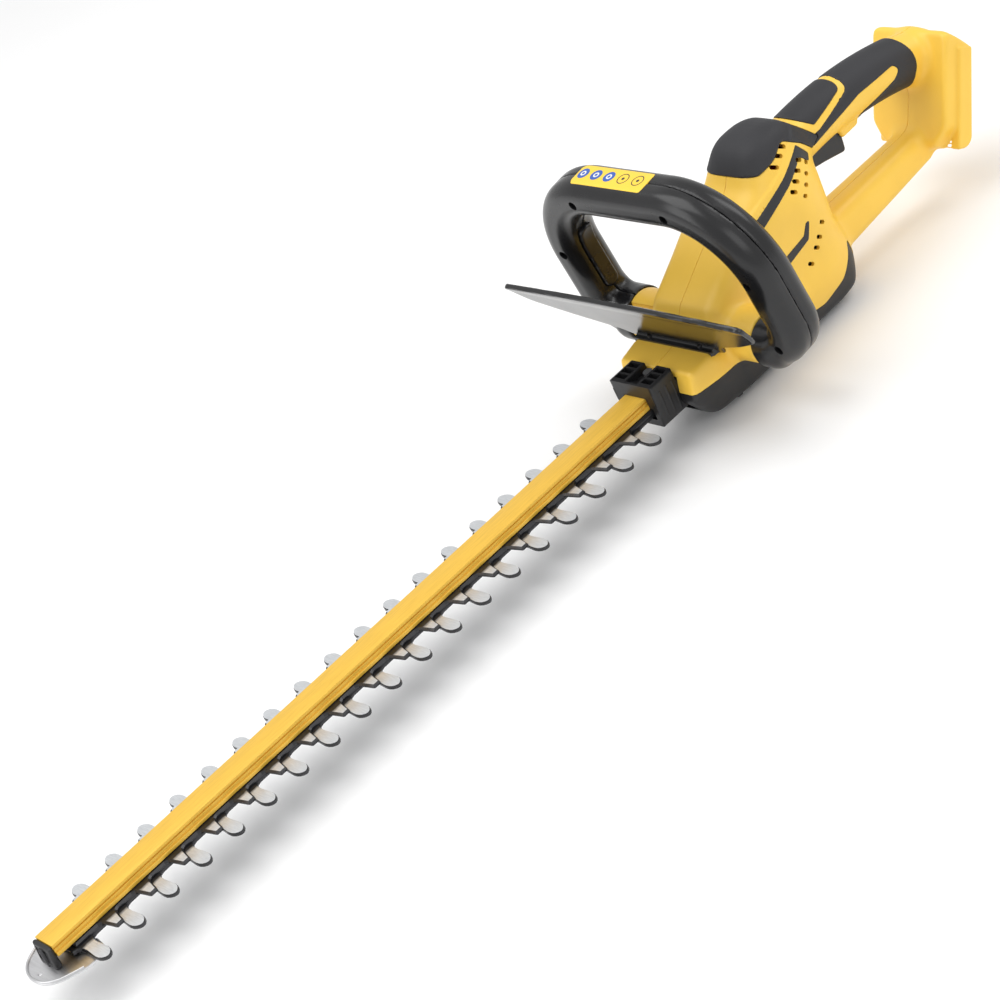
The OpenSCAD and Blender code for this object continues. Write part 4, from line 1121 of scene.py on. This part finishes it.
def build_rail():
    """Anodised rail: an extruded section with lips and grooves down both sides."""
    half, top, base = RAIL_HIGH[1], RAIL_HIGH[2], RAIL_LOW[2]
    section = [
        (half - 1.5, top), (half - 1.1, top - 0.15), (half - 0.95, top - 0.5), (half - 0.95, top - 2.0),
        (half - 1.2, top - 2.3), (half - 2.3, top - 2.5), (half - 2.3, top - 3.3), (half - 1.4, top - 3.6),
        (half - 1.2, top - 4.0), (half - 1.3, top - 5.2), (half - 1.7, top - 5.5), (half - 1.6, top - 5.9),
        (half - 0.3, top - 6.3), (half, top - 6.7), (half, base + 0.5), (half - 0.4, base),
        (6, base), (6, base + 4.4),
    ]
    ring = section + [(-y, z) for y, z in section[::-1]]
    stations = np.linspace(RAIL_LOW[0], RAIL_HIGH[0], 5)
    points = [(x, y, z) for x in stations for y, z in ring]
    count = len(ring)
    builder = bmesh.new()
    verts = [builder.verts.new(Vector(p) * MM) for p in points]
    for level in range(len(stations) - 1):
        for k in range(count):
            m = (k + 1) % count
            a, b = level * count, (level + 1) * count
            builder.faces.new((verts[a + k], verts[a + m], verts[b + m], verts[b + k]))
    builder.faces.new(verts[:count][::-1])
    builder.faces.new(verts[-count:])
    bmesh.ops.recalc_face_normals(builder, faces=builder.faces)
    mesh = mesh_from_builder("rail_section", builder)
    finish_piece("rail_section", mesh, "anodised_rail", "tool_body", ["rail"], sharp=25)


TIP_OUTLINE = [
    (646, -29, 3), (662, -30, 20), (689, -16, 24), (689, 16, 24), (662, 30, 20), (646, 29, 3),
    (644, 12, 2), (656, 9, 2), (656, -9, 2), (644, -12, 2),
]
TIP_THICK = 1.6
RIM_FROM_X = 664
RIM_CENTRE = (660, 0)


def circle(x, y, radius, steps=24):
    """Clockwise circle, so that its wall faces inward."""
    return [
        (x + radius * math.cos(-2 * math.pi * k / steps), y + radius * math.sin(-2 * math.pi * k / steps))
        for k in range(steps)
    ]


def build_tip():
    """Tip plate with a rolled rim round its nose, and the black cap above it."""
    low, high = box_mm("tip_guard")
    outline = rounded(TIP_OUTLINE, 10)
    holes = [circle(674, 0, 2.1), circle(683, 0, 1.6)]
    ground_plate(
        "tip_plate", outline, holes, low[2], low[2] + TIP_THICK, 0.4, 0.4,
        ("tip_steel", "tip_steel"), "tool_body", ["tip_guard"],
    )
    rim = [p for p in outline if p[0] > RIM_FROM_X]
    # The longest step between neighbours is the rim's open end, so the path starts there
    start = max(range(len(rim)), key=lambda k: np.hypot(*(rim[k] - rim[k - 1])))
    path = np.array(rim[start:] + rim[:start])
    curve = bpy.data.curves.new("tip_rim", "CURVE")
    curve.dimensions = "3D"
    curve.bevel_depth = 0.9 * MM
    curve.bevel_resolution = 3
    curve.use_fill_caps = True
    line = curve.splines.new("POLY")
    along = inset_towards(path, np.array(RIM_CENTRE), 0.95)
    line.points.add(len(along) - 1)
    for point, (x, y) in zip(line.points, along):
        point.co = (x * MM, y * MM, (high[2] - 1.0) * MM, 1)
    piece = bpy.data.objects.new("tip_rim", curve)
    curve.materials.append(MATERIALS["tip_steel"])
    bpy.context.collection.objects.link(piece)
    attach(piece, "tool_body")
    node_piece("rail_cap", end_cap, "end_cap", 2, 0.6, "clamp_plastic")


def inset_towards(points, centre, amount):
    """Points of an open path moved a little towards a centre."""
    away = points - centre
    return points - amount * away / np.linalg.norm(away, axis=1, keepdims=True)


# ---------- Label on the loop ----------

LABEL_HALF_LENGTH = 37
LABEL_HALF_DEPTH = 9.5
LABEL_CORNER = 3
LABEL_CENTRE = -11


def on_loop_top(s, depth, lift):
    """Point on the loop's outer face: s runs along it from the middle, lift stands off it."""
    bend = np.clip(np.abs(s) - LOOP_TOP_HALF, 0, None) / (LOOP_BIG_R + LOOP_BAND / 2)
    over = np.clip(np.abs(depth) - (LOOP_DEPTH / 2 - LOOP_CORNER), 0, None)
    rise = LOOP_BAND / 2 - LOOP_CORNER + np.sqrt((LOOP_CORNER + lift) ** 2 - over ** 2)
    reach = LOOP_BIG_R + rise
    y = np.sign(s) * (np.minimum(np.abs(s), LOOP_TOP_HALF) + reach * np.sin(bend))
    h = LOOP_BEND_Z + reach * np.cos(bend)
    c, n = math.cos(LOOP_LEAN), math.sin(LOOP_LEAN)
    return MOUNT_X + depth * c + h * n, y, MOUNT_Z + h * c - depth * n


def patch_piece(name, rows, low, high, slot, material, nodes=()):
    """Thin plate on the loop's top. Its rows hold (s, depth) points and are equally long."""
    rows = np.asarray(rows, float)
    count_v, count_u = rows.shape[:2]
    flat = rows.reshape(-1, 2)
    points = np.concatenate([
        np.stack(on_loop_top(flat[:, 0], flat[:, 1], lift), 1) for lift in (low, high)
    ])
    faces = []
    size = len(flat)
    for v in range(count_v - 1):
        for u in range(count_u - 1):
            a = v * count_u + u
            quad = (a, a + 1, a + 1 + count_u, a + count_u)
            faces += [tuple(size + q for q in quad), quad[::-1]]
    rim = [v * count_u for v in range(count_v)][::-1] + list(range(count_u))[1:]
    rim += [v * count_u + count_u - 1 for v in range(1, count_v)]
    rim += list(range((count_v - 1) * count_u, size - 1))[::-1][:-1]
    for a, b in zip(rim, rim[1:] + rim[:1]):
        faces.append((a, b, b + size, a + size))
    mesh = bpy.data.meshes.new(name)
    mesh.from_pydata([tuple(p * MM) for p in points], [], faces)
    builder = bmesh.new()
    builder.from_mesh(mesh)
    bmesh.ops.recalc_face_normals(builder, faces=builder.faces)
    builder.to_mesh(mesh)
    builder.free()
    piece = finish_piece(name, mesh, slot, "tool_body", nodes)
    piece.data.materials.clear()
    piece.data.materials.append(material)
    return piece


def label_rows(steps=60, across=12):
    """Rows of the label's plate, with rounded corners."""
    rows = []
    for s in np.linspace(-LABEL_HALF_LENGTH, LABEL_HALF_LENGTH, steps):
        over = max(abs(s) - (LABEL_HALF_LENGTH - LABEL_CORNER), 0)
        half = LABEL_HALF_DEPTH - LABEL_CORNER + math.sqrt(max(LABEL_CORNER ** 2 - over ** 2, 0))
        rows.append([(LABEL_CENTRE + s, half * t) for t in np.linspace(-1, 1, across)])
    return rows


def ring_rows(s, depth, inner, outer, steps=28):
    """Rows of a flat ring, or of a disc where inner is close to nothing."""
    rows = []
    for k in range(steps + 1):
        angle = 2 * math.pi * k / steps
        c, n = math.cos(angle), math.sin(angle)
        rows.append([(s + r * c, depth + r * n) for r in np.linspace(inner, outer, 3)])
    return rows


def label_mark(name, s, inner, outer, low, high, material):
    """Round mark printed on the label."""
    patch_piece(name, ring_rows(s, -0.5, inner, outer), low, high, "label", MATERIALS[material])


def build_label():
    """Plain yellow label with generic round marks and no lettering."""
    patch_piece("loop_label_plate", label_rows(), -0.4, 0.22, "label", MATERIALS["label"], ["loop_label"])
    for k, s in enumerate((-41, -27.5, -14)):
        label_mark(f"label_disc_{k}", s, 0.02, 5, 0.1, 0.3, "label_blue")
        label_mark(f"label_dot_{k}", s, 1.3, 2.4, 0.2, 0.36, "label_white")
    for k, s in enumerate((0.5, 15.5)):
        label_mark(f"label_ring_{k}", s, 4.3, 5, 0.1, 0.3, "label_ink")
        label_mark(f"label_bead_{k}", s, 0.02, 1.3, 0.1, 0.3, "label_ink")


def build_small_parts():
    """The trigger and the blade clamp."""
    node_piece("trigger_finger", trigger, "trigger", 2, 0.7, "trigger_plastic", "trigger_lever")
    node_piece("clamp_block", clamp, "blade_clamp", 3, 0.75, "clamp_plastic")


def dress_frame():
    """Gives every CAD node that still shows its finish."""
    slots = {part["node"]: part["material_slot"] for part in frame["record"]["subparts"]}
    for name, node in frame["nodes"].items():
        node.data.materials.clear()
        node.data.materials.append(MATERIALS[slots[name]])


def add_floor():
    """Plain pale floor just under the sole."""
    mesh = bpy.data.meshes.new("floor")
    size = 6.0
    corners = [(-size, -size), (size, -size), (size, size), (-size, size)]
    mesh.from_pydata([(x, y, -0.0005) for x, y in corners], [], [(0, 1, 2, 3)])
    floor = bpy.data.objects.new("floor", mesh)
    material, tree, shader, place = node_material("studio_floor")
    cloud = remap(tree, noise(tree, place, 3, 3), 0.3, 0.7, 0, 1)
    pale = blend_colours(tree, cloud, (0.93, 0.93, 0.93), (0.95, 0.95, 0.95))
    tree.links.new(pale, shader.inputs["Base Color"])
    tree.links.new(remap(tree, cloud, 0, 1, 0.7, 0.8), shader.inputs["Roughness"])
    mesh.materials.append(material)
    bpy.context.collection.objects.link(floor)


add_camera()
add_studio()
add_floor()
dress_frame()
build_housing()
build_loop()
build_guard()
build_small_parts()
build_blades()
build_rail()
build_tip()
build_label()
